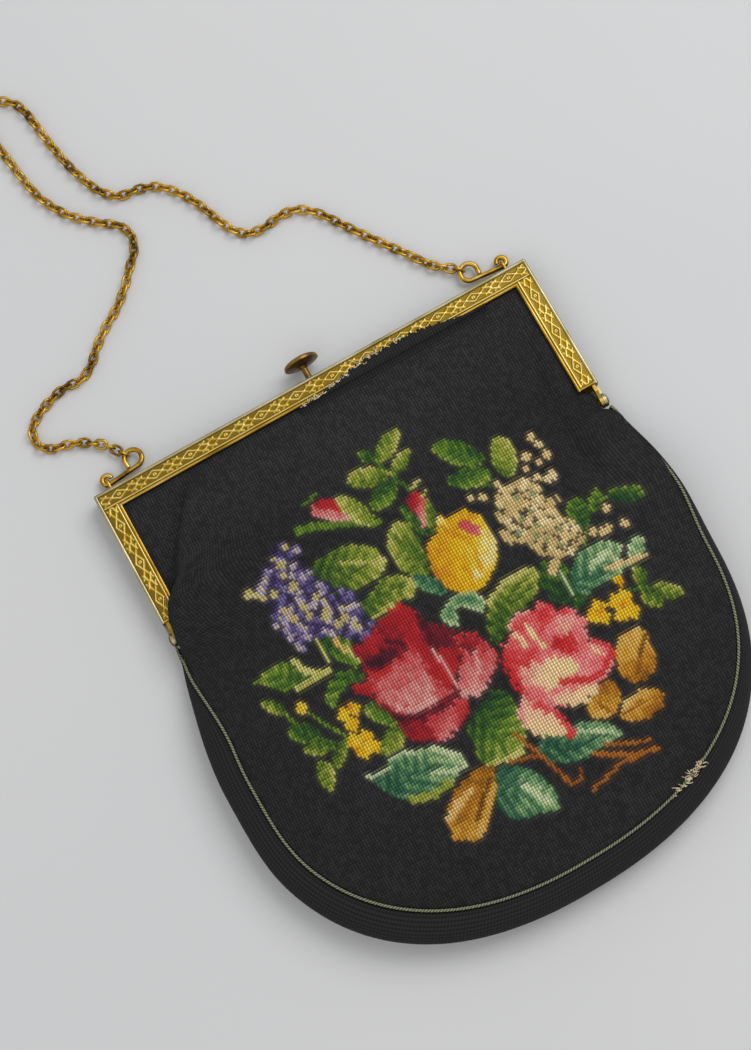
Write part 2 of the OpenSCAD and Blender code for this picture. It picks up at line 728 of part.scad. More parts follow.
// The lining: one pouch with a low front rim and a high back rim
lining_cols = 10;
module lining() {
    gap = cloth_t + soft_gap;
    rim_drop = split_v - mouth_top_v;
    rim_rows = 5;
    side_rows = side_steps - 2;
    rows = concat(
        arm_rows(split_v + split_gap, arm_len, rim_rows - 1),
        [for (k = [0:side_rows]) side_point(k, seam_in, panel_in)]);
    function back_v(i) = rows[i].y - rim_drop * max(0, 1 - i / rim_rows);
    function loop(i, t) =
        let (w = rows[i].x - gap - t, v = rows[i].y, b = back_v(i),
             share = w / rows[i].x, end = i == len(rows) - 1 ? gap + t : 0)
        concat(
            [for (j = [0:lining_cols])
                let (s = 2 * j / lining_cols - 1)
                [s * w, at(v - end), front_z(v, s * share) - gap - t]],
            [for (j = [lining_cols:-1:0])
                let (s = 2 * j / lining_cols - 1)
                [s * w, at(b - end), back_z(b) + gap + t]]);
    n = 2 * (lining_cols + 1);
    count = len(rows);
    function skin(o, flipped) = [for (r = [0:count - 2], i = [0:n - 1])
        let (a = o + r * n + i, b = o + r * n + (i + 1) % n)
        flipped ? [a, a + n, b + n, b] : [a, b, b + n, a + n]];
    function ladder(o, flipped) = [for (i = [0:lining_cols - 1])
        let (f = [o + i, o + i + 1, o + n - 2 - i, o + n - 1 - i])
        flipped ? [f[3], f[2], f[1], f[0]] : f];
    inside = count * n;
    color(CREAM) polyhedron(
        points = concat(
            [for (i = [0:count - 1]) each loop(i, 0)],
            [for (i = [0:count - 1]) each loop(i, lining_t)]),
        faces = concat(
            skin(0, false),
            skin(inside, true),
            [for (i = [0:n - 1]) [(i + 1) % n, i, inside + i, inside + (i + 1) % n]],
            ladder((count - 1) * n, false),
            ladder(inside + (count - 1) * n, true)));
}

// The part of the lining behind the upper front panel
module mouth_lining() {
    inset = cloth_t + lining_t + 2 * soft_gap;
    color(CREAM) front_sheet(mouth_rows, cloth_t + soft_gap, lining_t, inset);
}

rear_frame();
front_frame();
rear_ornament();
front_ornament();
hinge_pin_left();
hinge_pin_right();
clasp_knob();
clasp_latch();
clasp_spring();
clasp_guide();
clasp_striker();
chain_lug_left();
chain_lug_right();
chain_hook_left();
chain_hook_right();
chain_ring_left();
chain_ring_right();
chain();
front_panel();
front_panel_mouth();
back_panel();
gusset();
front_piping();
back_piping();
lining();
mouth_lining();
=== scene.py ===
import bpy
import numpy as np
from mathutils import Matrix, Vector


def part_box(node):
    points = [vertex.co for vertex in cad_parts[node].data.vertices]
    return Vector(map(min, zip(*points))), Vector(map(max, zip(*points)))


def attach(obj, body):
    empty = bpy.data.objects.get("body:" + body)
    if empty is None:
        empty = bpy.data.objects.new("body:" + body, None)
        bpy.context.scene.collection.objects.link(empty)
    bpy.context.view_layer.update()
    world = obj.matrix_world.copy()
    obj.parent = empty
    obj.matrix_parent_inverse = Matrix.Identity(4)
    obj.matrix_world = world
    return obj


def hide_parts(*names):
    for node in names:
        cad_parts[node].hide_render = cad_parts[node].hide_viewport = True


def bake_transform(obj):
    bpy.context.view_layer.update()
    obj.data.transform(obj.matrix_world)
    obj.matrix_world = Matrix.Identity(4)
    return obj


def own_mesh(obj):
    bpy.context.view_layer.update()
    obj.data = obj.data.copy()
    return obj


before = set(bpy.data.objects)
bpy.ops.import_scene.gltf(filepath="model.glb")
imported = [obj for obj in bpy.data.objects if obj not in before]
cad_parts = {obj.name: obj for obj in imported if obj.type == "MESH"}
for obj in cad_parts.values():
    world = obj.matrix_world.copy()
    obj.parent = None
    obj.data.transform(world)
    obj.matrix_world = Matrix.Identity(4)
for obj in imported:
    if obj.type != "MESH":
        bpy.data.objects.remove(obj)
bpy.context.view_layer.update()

# Sizes of the purse in millimetres, mostly as its solids have them; v runs down from the frame's top edge
FRAME_X = 90.0
TOP_Y = 100.5
RIM_W = 1.3
BAND_FACE_Z = 10.0
MID_Z = 5.25
HINGE_V = 60.0
BAND_END_V = 54.0
MOUTH_V = 7.2
PANEL_X = 82.8
PANEL_IN = 1.3
NECK_X = 86.3
NECK_V = 53.5
NECK_RUN = 3.5
SHOULDER_V = 62.7
SHOULDER_RUN = 2.0
BAG_X = 98.0
BAG_H = 210.0
WIDEST_V = 121.0
SHOULDER_IN = 9.5
SHOULDER_POWER = 3.1
ROUND_POWER = 2.4
CROWN_POWER = 2.6
GUSSET_V = 63.2
SEAM_IN = 6.0
SEAM_RUN = 45.0
SEAM_Z = 18.0
CROWN_Z = 27.0
CROWN_V = 118.0
UNDER_LIP_Z = 8.5
HINGE_EDGE_Z = 7.25
EDGE_FALL = 12.0
EDGE_RISE = 40.0
RISE_V = 63.0
BACK_IN_Z = 1.7
BACK_RAMP = 22.0

# Stitches and cloth walls in millimetres, and one millimetre in metres
STITCH = 1.08
STITCH_H = 1.14
STITCH_SLANT = 24
STITCH_OVAL = (0.94, 1.3, 1.0)
CLOTH_WALL = 0.8
BACK_WALL = 0.9
LINING_WALL = 0.3
WORN_WALL = 0.3
MM = 0.001

rng = np.random.default_rng(29)


def smooth(t):
    """Smooth step: 3 t squared less 2 t cubed, held between 0 and 1."""
    t = np.clip(t, 0, 1)
    return t * t * (3 - 2 * t)


def ease(t, start, run):
    """Smooth step that leaves 0 at start and reaches 1 after a run."""
    return smooth((t - start) / run)


def mix(a, b, t):
    """Straight mix from a to b."""
    return a + (b - a) * t


def unit(d):
    """Vectors of length one."""
    return d / np.linalg.norm(d, axis=-1, keepdims=True)


def rgb(code):
    """An sRGB hex colour as linear red, green and blue."""
    c = np.array([int(code[i:i + 2], 16) for i in (1, 3, 5)]) / 255
    return np.where(c <= 0.04045, c / 12.92, ((c + 0.055) / 1.055) ** 2.4)


def ink(code):
    """A hex colour as a colour socket takes it."""
    return (*rgb(code).tolist(), 1.0)


def wire(tree, node, inputs):
    """Sets or links the inputs of a node."""
    for key, value in inputs.items():
        if isinstance(value, bpy.types.NodeSocket):
            tree.links.new(value, node.inputs[key])
        else:
            node.inputs[key].default_value = value


def add(tree, kind, settings={}, inputs={}, stops=()):
    """Adds a shader node with its settings, its inputs set or linked, and the stops of a colour ramp."""
    node = tree.nodes.new("ShaderNode" + kind)
    for key, value in settings.items():
        setattr(node, key, value)
    wire(tree, node, inputs)
    for i, (place, code) in enumerate(stops):
        ramp = node.color_ramp.elements
        stop = ramp[i] if i < 2 else ramp.new(place)
        stop.position = place
        stop.color = ink(code)
    return node


def new_material(name):
    """An empty material with its tree and its shader."""
    material = bpy.data.materials.new(name)
    material.use_nodes = True
    tree = material.node_tree
    return material, tree, tree.nodes["Principled BSDF"]


def quads(rows, cols, loop=False):
    """Corners of the faces of a grid of points; loop joins the last column to the first."""
    r = np.arange(rows - 1)[:, None]
    c = np.arange(cols if loop else cols - 1)[None, :]
    a = r * cols + c
    b = r * cols + (c + 1) % cols
    return np.stack([a, b, b + cols, a + cols], -1).reshape(-1, 4)


def facing_area(points, faces):
    """Area vector of each four-cornered face, from its diagonals."""
    a, b, c, d = (points[faces[:, i]] for i in range(4))
    return np.cross(c - a, d - b) / 2


def piece(name, points, faces, material, body, facing=None, caps=()):
    """A mesh from points in millimetres. An open sheet faces the given way; a closed skin faces out,
    by the sign of its volume."""
    points = np.asarray(points, float).reshape(-1, 3)
    area = facing_area(points, faces)
    centre = points[faces].mean(1)
    if facing is None:
        turned = (area * (centre - points.mean(0))).sum() < 0
    else:
        turned = (area.sum(0) * np.asarray(facing, float)).sum() < 0
    corners = [list(f) for f in faces.tolist()] + [list(c) for c in caps]
    if turned:
        corners = [c[::-1] for c in corners]
    mesh = bpy.data.meshes.new(name)
    mesh.from_pydata((points * MM).tolist(), [], corners)
    mesh.validate()
    mesh.polygons.foreach_set("use_smooth", [True] * len(mesh.polygons))
    mesh.materials.append(material)
    obj = bpy.data.objects.new(name, mesh)
    bpy.context.scene.collection.objects.link(obj)
    if body:
        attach(obj, body)
    return obj


def end_caps(rings, sides, start=0):
    """The two end faces of a tube whose points begin at start, both facing out."""
    last = start + (rings - 1) * sides
    return [list(range(start, start + sides))[::-1], list(range(last, last + sides))]


def tube(path, radius, sides):
    """Rings carried along a path that runs mostly level: points, faces and end caps. The radius may
    change along the path and round the ring."""
    ahead = unit(np.gradient(path, axis=0))
    side = unit(np.cross(ahead, [0.0, 0.0, 1.0]))
    up = np.cross(side, ahead)
    a = np.linspace(0, 2 * np.pi, sides, endpoint=False)
    ring = np.cos(a)[None, :, None] * side[:, None] + np.sin(a)[None, :, None] * up[:, None]
    radius = np.broadcast_to(radius, (len(path), sides))
    points = path[:, None] + radius[..., None] * ring
    return points.reshape(-1, 3), quads(len(path), sides, True), end_caps(len(path), sides)


# Camera at the photograph's angle: 12 degrees off straight down, rolled by 29.55 degrees
VIEW = unit(np.array([0.03414, 0.20779, -0.97758]))
AIM = np.array([-5.51, 40.73, 8.0])
CAMERA_FAR = 900.0
SENSOR = 36.0
LENS = 85.53
ROLL = np.radians(-29.55)
level = unit(np.cross(VIEW, [0.0, 1.0, 0.0]))
upright = np.cross(level, VIEW)
right = np.cos(ROLL) * level + np.sin(ROLL) * upright
up = -np.sin(ROLL) * level + np.cos(ROLL) * upright
camera_data = bpy.data.cameras.new("photo_camera")
camera_data.sensor_width = SENSOR
camera_data.lens = LENS
camera = bpy.data.objects.new("photo_camera", camera_data)
bpy.context.scene.collection.objects.link(camera)
place = (AIM - CAMERA_FAR * VIEW) * MM
camera.matrix_world = Matrix([[right[i], up[i], -VIEW[i], place[i]] for i in range(3)] + [[0, 0, 0, 1]])
bpy.context.scene.camera = camera


# Gilt: thin gold on stamped brass, rubbed pale in some patches and browned in others, from noise
def aged_metal(name, bright, worn, dark, rough, patch_mm):
    """Aged metal: a bright ground, paler rubbed patches and dark tarnish, from noise of a real size."""
    material, tree, shader = new_material(name)
    spot = add(tree, "TexCoord").outputs["Object"]
    patches = add(tree, "TexNoise", {}, {"Vector": spot, "Scale": 1000 / patch_mm, "Detail": 4.0})
    tone = add(tree, "ValToRGB", {}, {"Fac": patches.outputs["Fac"]},
               [(0.34, dark), (0.72, worn), (0.5, bright)])
    grain = add(tree, "TexNoise", {}, {"Vector": spot, "Scale": 1000 / 0.5, "Detail": 2.0})
    haze = add(tree, "MapRange", {}, {"Value": grain.outputs["Fac"], "To Min": rough - 0.1,
                                               "To Max": rough + 0.16})
    dent = add(tree, "Bump", {}, {"Strength": 0.12, "Distance": 0.0001,
                                           "Height": grain.outputs["Fac"]})
    wire(tree, shader, {"Base Color": tone.outputs["Color"], "Metallic": 1.0,
                        "Roughness": haze.outputs["Result"], "Normal": dent.outputs["Normal"]})
    return material


# Yellow on the chain and the hooks, brown on the knob as painted shade of its underside, dark on the
# rivets, grey on the steel
chain_gilt = aged_metal("gilt_chain_wire", "#C79A2E", "#D9B860", "#7A5A1C", 0.34, 7.0)
wire_gilt = aged_metal("gilt_hook_wire", "#C49A34", "#DCC070", "#6A4E1C", 0.3, 5.0)
shaded_knob_gilt = aged_metal("shade_browned_gilt_knob", "#8A6A34", "#A8925A", "#5A4020", 0.36, 6.0)
pin_gilt = aged_metal("dark_gilt_rivets", "#8A6E30", "#A89050", "#4A3814", 0.4, 3.0)
steel = aged_metal("spring_steel", "#8A8A88", "#A8A8A6", "#5A5A5C", 0.35, 3.0)

# Chain: the same route as the solids, links of round wire, each turned a quarter against the next
EYE_X = 70.778
EYE_Y = 108.075
EYE_Z = 2.8
END_REACH = 7.15
LINK_END_R = 1.6
LINK_STRAIGHT = 1.3
LINK_WIRE_R = 0.55
LINK_PITCH = 3.2
LINK_TURNS = 14
LINK_SIDES = 6
TWIST_LINKS = 6
LIE_Z = 1.781
END_LIFT = 0.45
LIFT_FALL = 0.2
ROUTE_STEPS = 10
PLACES = [
    (60, 118), (53, 128), (46, 138), (39, 148.5), (34, 156), (28, 161.5), (21, 163), (13.5, 162), (7, 163),
    (2.5, 167.5), (-0.5, 174), (-3.5, 182), (-8, 190), (-14, 196.5), (-21, 199.3), (-28, 200.5), (-33, 205),
    (-36.5, 212), (-39.5, 222), (-42, 236), (-43.3, 246), (-45.3, 252.5), (-50, 257), (-55.8, 256.5),
    (-59.3, 251.5), (-59.5, 244), (-58, 234), (-56.5, 223), (-54, 213.5), (-49, 204.5), (-43, 198),
    (-38, 193.8), (-33.5, 190), (-31.5, 184.5), (-33.5, 178.5), (-38, 173.5), (-43, 168), (-49, 162.5),
    (-56, 158), (-63, 152.5), (-68, 147.5), (-74, 144.5), (-81, 144.8), (-88, 143), (-94, 140.3),
    (-98.5, 136.5), (-99.3, 131), (-95.8, 126.8), (-89.5, 125), (-83, 122), (-77, 117.3),
]


def smooth_curve(knots, steps):
    """A curve through all knots: on each span a cubic of the four nearest knots."""
    k = np.vstack([knots[:1], knots, knots[-1:]])
    a, b, c, d = k[:-3], k[1:-2], k[2:-1], k[3:]
    t = (np.arange(steps) / steps)[None, :, None]
    a, b, c, d = (p[:, None] for p in (a, b, c, d))
    line = b + t / 2 * (c - a + t * (2 * a - 5 * b + 4 * c - d + t * (3 * (b - c) + d - a)))
    return np.vstack([line.reshape(-1, knots.shape[1]), knots[-1:]])


def along(line, travel):
    """Points of a line at the given distances along it."""
    run = np.concatenate([[0], np.cumsum(np.linalg.norm(np.diff(line, axis=0), axis=1))])
    return np.stack([np.interp(travel, run, line[:, i]) for i in range(line.shape[1])], -1), run[-1]


def chain_links():
    """Each link is a round wire round a stadium; its middle lies at equal steps along the route, and
    its plane is rolled half a right angle to either side in turn, less near the ends."""
    k = np.arange(len(PLACES))
    heights = LIE_Z + np.maximum(0, END_LIFT - LIFT_FALL * np.minimum(k, len(PLACES) - 1 - k))
    laid = np.column_stack([np.array(PLACES, float), heights])
    eyes = np.array([[EYE_X, EYE_Y, EYE_Z], [-EYE_X, EYE_Y, EYE_Z]])
    ends = eyes + unit(laid[[0, -1]] - eyes) * END_REACH
    route = smooth_curve(np.vstack([ends[:1], laid, ends[1:]]), ROUTE_STEPS)
    length = along(route, 0)[1]
    count = 2 * int(np.ceil(length / LINK_PITCH / 2)) + 1
    step = length / (count - 1)
    i = np.arange(count)
    middle = along(route, i * step)[0]
    ahead = unit(along(route, np.minimum(i + 0.5, count - 1) * step)[0]
                 - along(route, np.maximum(i - 0.5, 0) * step)[0])
    flat = unit(np.cross([0.0, 0.0, 1.0], ahead))
    lift = np.cross(ahead, flat)
    lie = np.pi / 4 * np.minimum(1, np.minimum(i, count - 1 - i) / TWIST_LINKS)
    roll = np.where(i % 2 == 0, lie, lie - np.pi / 2)[:, None]
    across = np.cos(roll) * flat + np.sin(roll) * lift
    through = np.cos(roll) * lift - np.sin(roll) * flat
    turns, sides = LINK_TURNS, LINK_SIDES
    p = (np.arange(turns) + 0.5) * 2 * np.pi / turns
    q = np.arange(sides) * 2 * np.pi / sides
    reach = LINK_END_R + LINK_WIRE_R * np.cos(q)[None, :]
    x = np.cos(p)[:, None] * reach + np.sign(np.cos(p))[:, None] * LINK_STRAIGHT / 2
    y = np.sin(p)[:, None] * reach
    z = np.broadcast_to(LINK_WIRE_R * np.sin(q)[None, :], x.shape)
    local = np.stack([x, y, z], -1).reshape(1, -1, 3)
    axes = np.stack([ahead, across, through], 1)
    points = middle[:, None] + local @ axes
    a = np.arange(turns * sides).reshape(turns, sides)
    b = np.roll(a, -1, 0)
    ring = np.stack([a, b, np.roll(b, -1, 1), np.roll(a, -1, 1)], -1).reshape(-1, 4)
    faces = (ring[None] + (i * turns * sides)[:, None, None]).reshape(-1, 4)
    return points.reshape(-1, 3), faces, middle, length


link_points, link_faces, chain_line, chain_length = chain_links()
chain = piece("link_chain", link_points, link_faces, chain_gilt, "bag")
first = link_faces[:LINK_TURNS * LINK_SIDES]
if (facing_area(link_points, first) * (link_points[first].mean(1) - chain_line[0])).sum() < 0:
    chain.data.flip_normals()
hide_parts("chain")


# Shape of the pouch
def edge_z(v):
    """Height of the front panel along its side edges: under the lip, down to the hinge, up to the seam."""
    fall = mix(UNDER_LIP_Z, HINGE_EDGE_Z, ease(v, HINGE_V - EDGE_FALL, EDGE_FALL))
    return np.where(v < RISE_V, fall, mix(HINGE_EDGE_Z, SEAM_Z, ease(v, RISE_V, EDGE_RISE)))


def crown_z(v):
    """Height of the front panel along its middle line: a quarter sine up, then a power curve down."""
    rise = np.sin(np.pi / 2 * np.clip((v - MOUTH_V) / (CROWN_V - MOUTH_V), 0, 1)) ** 1.2
    fall = np.clip((v - CROWN_V) / (BAG_H - SEAM_IN - PANEL_IN - CROWN_V), 0, 1) ** 2.2
    return np.where(v < CROWN_V, mix(UNDER_LIP_Z, CROWN_Z, rise), mix(CROWN_Z, SEAM_Z, fall))


def outline_half(v):
    """Half width of the pouch on its shoulders: the widest line less a power curve up to the hinges."""
    drop = np.clip((WIDEST_V - v) / (WIDEST_V - HINGE_V), 0, None)
    return BAG_X - SHOULDER_IN * drop ** SHOULDER_POWER


def seam_draw(v):
    """How far the seams lie inside the outline: nothing at the hinges, all of it from the belly down."""
    return SEAM_IN * ease(v, GUSSET_V, SEAM_RUN)


def panel_half(v):
    """Half width of the panels above the widest line: straight between the arms, a neck beside the
    hinges, then the shoulder."""
    neck = mix(PANEL_X, NECK_X, ease(v, NECK_V, NECK_RUN))
    return mix(neck, outline_half(v) - seam_draw(v) - PANEL_IN, ease(v, SHOULDER_V, SHOULDER_RUN))


def reach(u, v, inset=0.0):
    """How far a place is from the middle line to the panel's edge, 0 to 1; rounded at the bottom."""
    wide, deep = BAG_X - SEAM_IN - PANEL_IN - inset, BAG_H - SEAM_IN - PANEL_IN - inset - WIDEST_V
    low = (np.abs(u) / wide) ** ROUND_POWER + (np.clip(v - WIDEST_V, 0, None) / deep) ** ROUND_POWER
    return np.where(v > WIDEST_V, low ** (1 / ROUND_POWER), np.abs(u) / (panel_half(v) - inset))


def any_half(v):
    """Half width of the panels at any v, with the rounded bottom."""
    low = np.clip((v - WIDEST_V) / (BAG_H - SEAM_IN - PANEL_IN - WIDEST_V), 0, 1)
    curve = (BAG_X - SEAM_IN - PANEL_IN) * np.clip(1 - low ** ROUND_POWER, 0, 1) ** (1 / ROUND_POWER)
    return np.where(v < WIDEST_V, panel_half(v), curve)


def slump(x, v):
    """How the pouch has settled sideways and down: out on the lower left, in on the right."""
    left = 1.7 * ease(v, 63, 8) - 3 * ease(v, 80, 40) - 1.5 * ease(v, 125, 35)
    right = -0.5 * ease(v, 63, 15) - 1.2 * ease(v, 100, 30)
    down = 1.5 * ease(v, 120, 80) * (1 - ease(x, -20, 80))
    return mix(left, right, ease(x, -60, 120)), down


def slip(x, v):
    """How far the front seam has slipped to the right and up against the back one; beside the
    right hinge it follows the outline, just inside it."""
    left = 3.5 * ease(v, 63, 45)
    right = mix(seam_draw(v) + 0.4 - 2 * ease(v, 64, 12), 3, ease(v, 100, 25))
    return mix(left, right, ease(x, -60, 120)), 3 * ease(v, 115, 80)


def left_fold(x, v):
    """Distance to the right of the fold that runs from the bar's left part down to the left hinge."""
    return 0.88 * (x + 65.5 + 0.751 * (v - 21) - 0.004 * (v - 21) ** 2)


def folds(x, v):
    """Soft folds of the front: the body swells over the left fold, a groove runs down inside the right
    arm with a swelling on either side, and slow waves cross the rest."""
    d = left_fold(x, v)
    swell = 4.8 * ease(d, 0, 3) * (1 - ease(d, 4, 34)) - 1.0 * np.exp(-((d + 1.5) / 2) ** 2)
    swell = swell * ease(v, 9, 12) * (1 - ease(v, 58, 22))
    g = x - 70.8 - 0.0035 * (v - 64) ** 2
    on = ease(v, 14, 14) * (1 - ease(v, 78, 22))
    groove = -2.3 * np.exp(-(np.abs(g) / 2.8) ** 1.4) + 1.3 * np.exp(-((g - 7) / 5) ** 2)
    groove = groove + 0.9 * np.exp(-((g + 8) / 7) ** 2)
    waves = 0.35 * np.sin(x / 11 + v / 17) * np.sin(v / 23 - x / 31)
    return swell, on * groove + waves * ease(v, 14, 30)


def front_z(u, v, full=1.0):
    """Height of the front cloth: between its edge and its crown by the share of the half width, with
    the folds in full or in part."""
    share = np.clip(np.abs(u) / np.maximum(any_half(v), 1), 0, 1)
    low = edge_z(v)
    swell, soft = folds(u, v)
    body = low + (crown_z(v) - low) * (1 - share ** CROWN_POWER)
    return body + full * (swell * (1 - share ** 60) + soft * (1 - share ** 8))


def front_point(u, v, lift=0.0, full=1.0):
    """A place on the front cloth, moved by the slump and the slip of its seam. The swollen cloth hangs
    over the frame's arm beside the left hinge, and over the seam on the right shoulder."""
    near = np.clip(reach(u, v), 0, 1) ** 2
    side, down = slump(u, v)
    over, up = slip(u, v)
    d = left_fold(u, v)
    left = ease(v, 36, 14) * mix(8, 6, ease(v, 53, 8)) * (1 - ease(v, 60, 14))
    left = left * ease(d, 2, 4.5) * (1 - ease(d, 7, 36))
    q = any_half(v) - u
    right = 3.6 * ease(v, 62, 6) * (1 - ease(v, 92, 18))
    right = right * ease(q, 0, 2.5) * (1 - ease(q, 3, 20))
    x = u + (side + over) * near + full * (right - left)
    return np.stack([x, TOP_Y - v + (up - down) * near, front_z(u, v, full) + lift], -1)


def back_z(v):
    """Height of the back cloth: inside the rear half of the frame, then down to the table."""
    return BACK_IN_Z * (1 - ease(v, HINGE_V, BACK_RAMP))


def panel_grid(pitch_u, pitch_v, inset):
    """An even grid over a panel's plan. Points outside the outline move onto it: straight in above the
    widest line, towards its middle below it. Returns the plan, the even grid and the faces."""
    cols = int(2 * BAG_X / pitch_u / 2) * 2 + 1
    rows = int((BAG_H - MOUTH_V) / pitch_v) + 2
    u = np.broadcast_to((np.arange(cols) - cols // 2) * pitch_u, (rows, cols))
    v = np.broadcast_to((MOUTH_V + np.arange(rows) * pitch_v)[:, None], (rows, cols))
    far = reach(u, v, inset)
    draw = np.where(far > 1, 1 / np.maximum(far, 1), 1)
    pu = u * draw
    pv = np.where(v > WIDEST_V, WIDEST_V + (v - WIDEST_V) * draw, v)
    faces = quads(rows, cols)
    faces = faces[(far <= 1).ravel()[faces].any(1)]
    used, index = np.unique(faces, return_inverse=True)
    return *(g.ravel()[used] for g in (pu, pv, u, v)), index.reshape(-1, 4)


def seam_line(draw, e):
    """The outline drawn in by a share of the seam's inset and by e more, from the left hinge round the
    bottom to the right one: x and v."""
    v = mix(GUSSET_V, WIDEST_V, np.linspace(0, 1, 60, endpoint=False))
    x = outline_half(v) - draw * seam_draw(v) - e
    a = np.linspace(0, np.pi / 2, 150)
    inset = draw * SEAM_IN + e
    x = np.concatenate([x, (BAG_X - inset) * np.clip(np.cos(a), 0, 1) ** (2 / ROUND_POWER)])
    v = np.concatenate([v, WIDEST_V + (BAG_H - WIDEST_V - inset) * np.sin(a) ** (2 / ROUND_POWER)])
    return np.concatenate([-x, x[-2::-1]]), np.concatenate([v, v[-2::-1]])


def seam_place(x, v, front):
    """A seam's plan after the slump, and for the front seam also the slip."""
    side, down = slump(x, v)
    over, up = slip(x, v)
    return x + side + front * over, TOP_Y - v - down + front * up


def lay_uv(obj, u, v):
    """A UV map from two values per point."""
    layer = obj.data.uv_layers.new(name="stitches")
    corner = np.empty(len(obj.data.loops), int)
    obj.data.loops.foreach_get("vertex_index", corner)
    layer.data.foreach_set("uv", np.stack([u[corner], v[corner]], -1).ravel())


def thicken(obj, wall):
    """Gives a sheet its thickness in millimetres, behind the face that shows."""
    thick = obj.modifiers.new("cloth", "SOLIDIFY")
    thick.thickness = wall * MM
    thick.offset = -1.0


# The bouquet: thread shades from dark to light, and shapes as listed, one stitch per cell
MAROON = ["#34121E", "#4C1420", "#6C1622", "#8A1822", "#A41C24", "#B82A2C"]
RED = ["#7C1620", "#9A1A20", "#B22222", "#C03834"]
ROSE = ["#981A24", "#B0282E", "#BC4446", "#C46260", "#CC827C", "#D29C92"]
PINK = ["#B01A1E", "#C62C2E", "#D04A4C", "#D66A6A", "#DC8882", "#E0A090"]
CREAM = ["#D4867A", "#DCA088", "#E0B68E", "#DEC08C", "#DCC688"]
YELLOW = ["#B86E10", "#C88A10", "#D2A010", "#D8B018", "#D8BE48", "#DCCC8A"]
LIME = ["#1A361C", "#2F501C", "#526C1E", "#7E8C2C", "#A09E44", "#BEB86C"]
MOSS = ["#16301E", "#224420", "#385C1E", "#5A7A20", "#7E9030", "#A6A856"]
TEAL = ["#163C2E", "#24523C", "#406E4A", "#6E9460", "#98AE78", "#BCC69A"]
GOLD = ["#50300E", "#7C4C10", "#A86C14", "#C08A28", "#CCA04A", "#D4B87A"]
LILAC = ["#241C38", "#3A2E5C", "#544678", "#786C94", "#9C8EAC", "#B8A8BC"]
CREAMY = ["#8A7C58", "#B4A468", "#CCBE84"]
IVORY = ["#6A6A44", "#9C8C5A", "#C0A468", "#D0B47C", "#DCC698"]
STEM = ["#5E300C", "#8A4A12", "#A8641C", "#B8782A"]
GROUND = ["#1D1C1D", "#232223", "#292829"]

STREAK_LONG = 3.4
RIB_LARGE = 4.4
RIB_SMALL = 3.4
RIM_SOFT = 1.5
ROSE_BLUR = 1.1

cloth_u, cloth_v, even_u, even_v, cloth_faces = panel_grid(STITCH, STITCH_H, 0.0)
cell_x = even_u[cloth_faces].mean(1)
cell_v = even_v[cloth_faces].mean(1)
streaks = rng.uniform(-1, 1, (200, 80))
streak = streaks[np.rint(cell_x / STITCH).astype(int), (cell_v / STREAK_LONG).astype(int)]
uneven = 0.6 * rng.uniform(-1, 1, len(cell_x)) + 0.6 * streak
threads = np.array([rgb(c) for c in GROUND])[rng.integers(0, len(GROUND), len(cell_x))]
jitter = rng.uniform(-1, 1, (2, len(cell_x)))


def stitch(mask, shades, tone, scatter=0.1):
    """Works the stitches of mask in the shade at tone, from 0 to 1 along the row of shades."""
    row = np.array([rgb(c) for c in shades])
    at = np.clip((tone + scatter * uneven)[mask], 0, 1) * (len(row) - 1.001)
    low = at.astype(int)
    threads[mask] = mix(row[low], row[low + 1], (at - low)[:, None])


def inside(outline, blur=0.0):
    """Which stitches lie inside an outline, by the even-odd rule over its edges; blur mixes the stitches
    along its edge over so many mm."""
    pts = np.array(outline, float)
    cx, cv = cell_x + blur * jitter[0], cell_v + blur * jitter[1]
    hit = np.zeros(len(cell_x), bool)
    for (x1, v1), (x2, v2) in zip(pts, np.roll(pts, -1, 0)):
        if v1 != v2:
            hit ^= ((v1 > cv) != (v2 > cv)) & (cx < (x2 - x1) * (cv - v1) / (v2 - v1) + x1)
    return hit


def away(points):
    """Distance of each stitch from an open line of points."""
    pts = np.array(points, float)
    near = np.full(len(cell_x), 1e9)
    for (x1, v1), (x2, v2) in zip(pts[:-1], pts[1:]):
        dx, dv = x2 - x1, v2 - v1
        t = np.clip(((cell_x - x1) * dx + (cell_v - v1) * dv) / (dx * dx + dv * dv), 0, 1)
        near = np.minimum(near, np.hypot(cell_x - x1 - t * dx, cell_v - v1 - t * dv))
    return near


def petal(outline, shades, towards, low=0.0, high=1.0, rim=0.0, blur=0.0, veins=0.0):
    """A petal or a leaf: it goes from the shade low to the shade high along a direction; rim lightens or
    darkens its edge, blur mixes it with the petal below, and veins draws slanting stripes."""
    mask = inside(outline, blur)
    d = np.array(towards, float) / np.hypot(*towards)
    span = np.array(outline, float) @ d
    t = (cell_x * d[0] + cell_v * d[1] - span.min()) / (span.max() - span.min())
    edge = np.exp(-(away(list(outline) + [outline[0]]) / RIM_SOFT) ** 2) if rim else 0
    middle = np.array(outline, float).mean(0)
    out = np.abs((cell_v - middle[1]) * d[0] - (cell_x - middle[0]) * d[1])
    stripe = np.cos(2 * np.pi * (cell_x * d[0] + cell_v * d[1] - 0.8 * out) / RIB_LARGE) - 0.4
    stitch(mask, shades, mix(low, high, np.clip(t, 0, 1)) + rim * edge + veins * stripe, 0.18)


def line(points, shades, wide, tone=0.5):
    """A line of stitches: a stem, a vein or a curled edge."""
    stitch(away(points) < wide / 2, shades, np.full(len(cell_x), tone), 0.16)


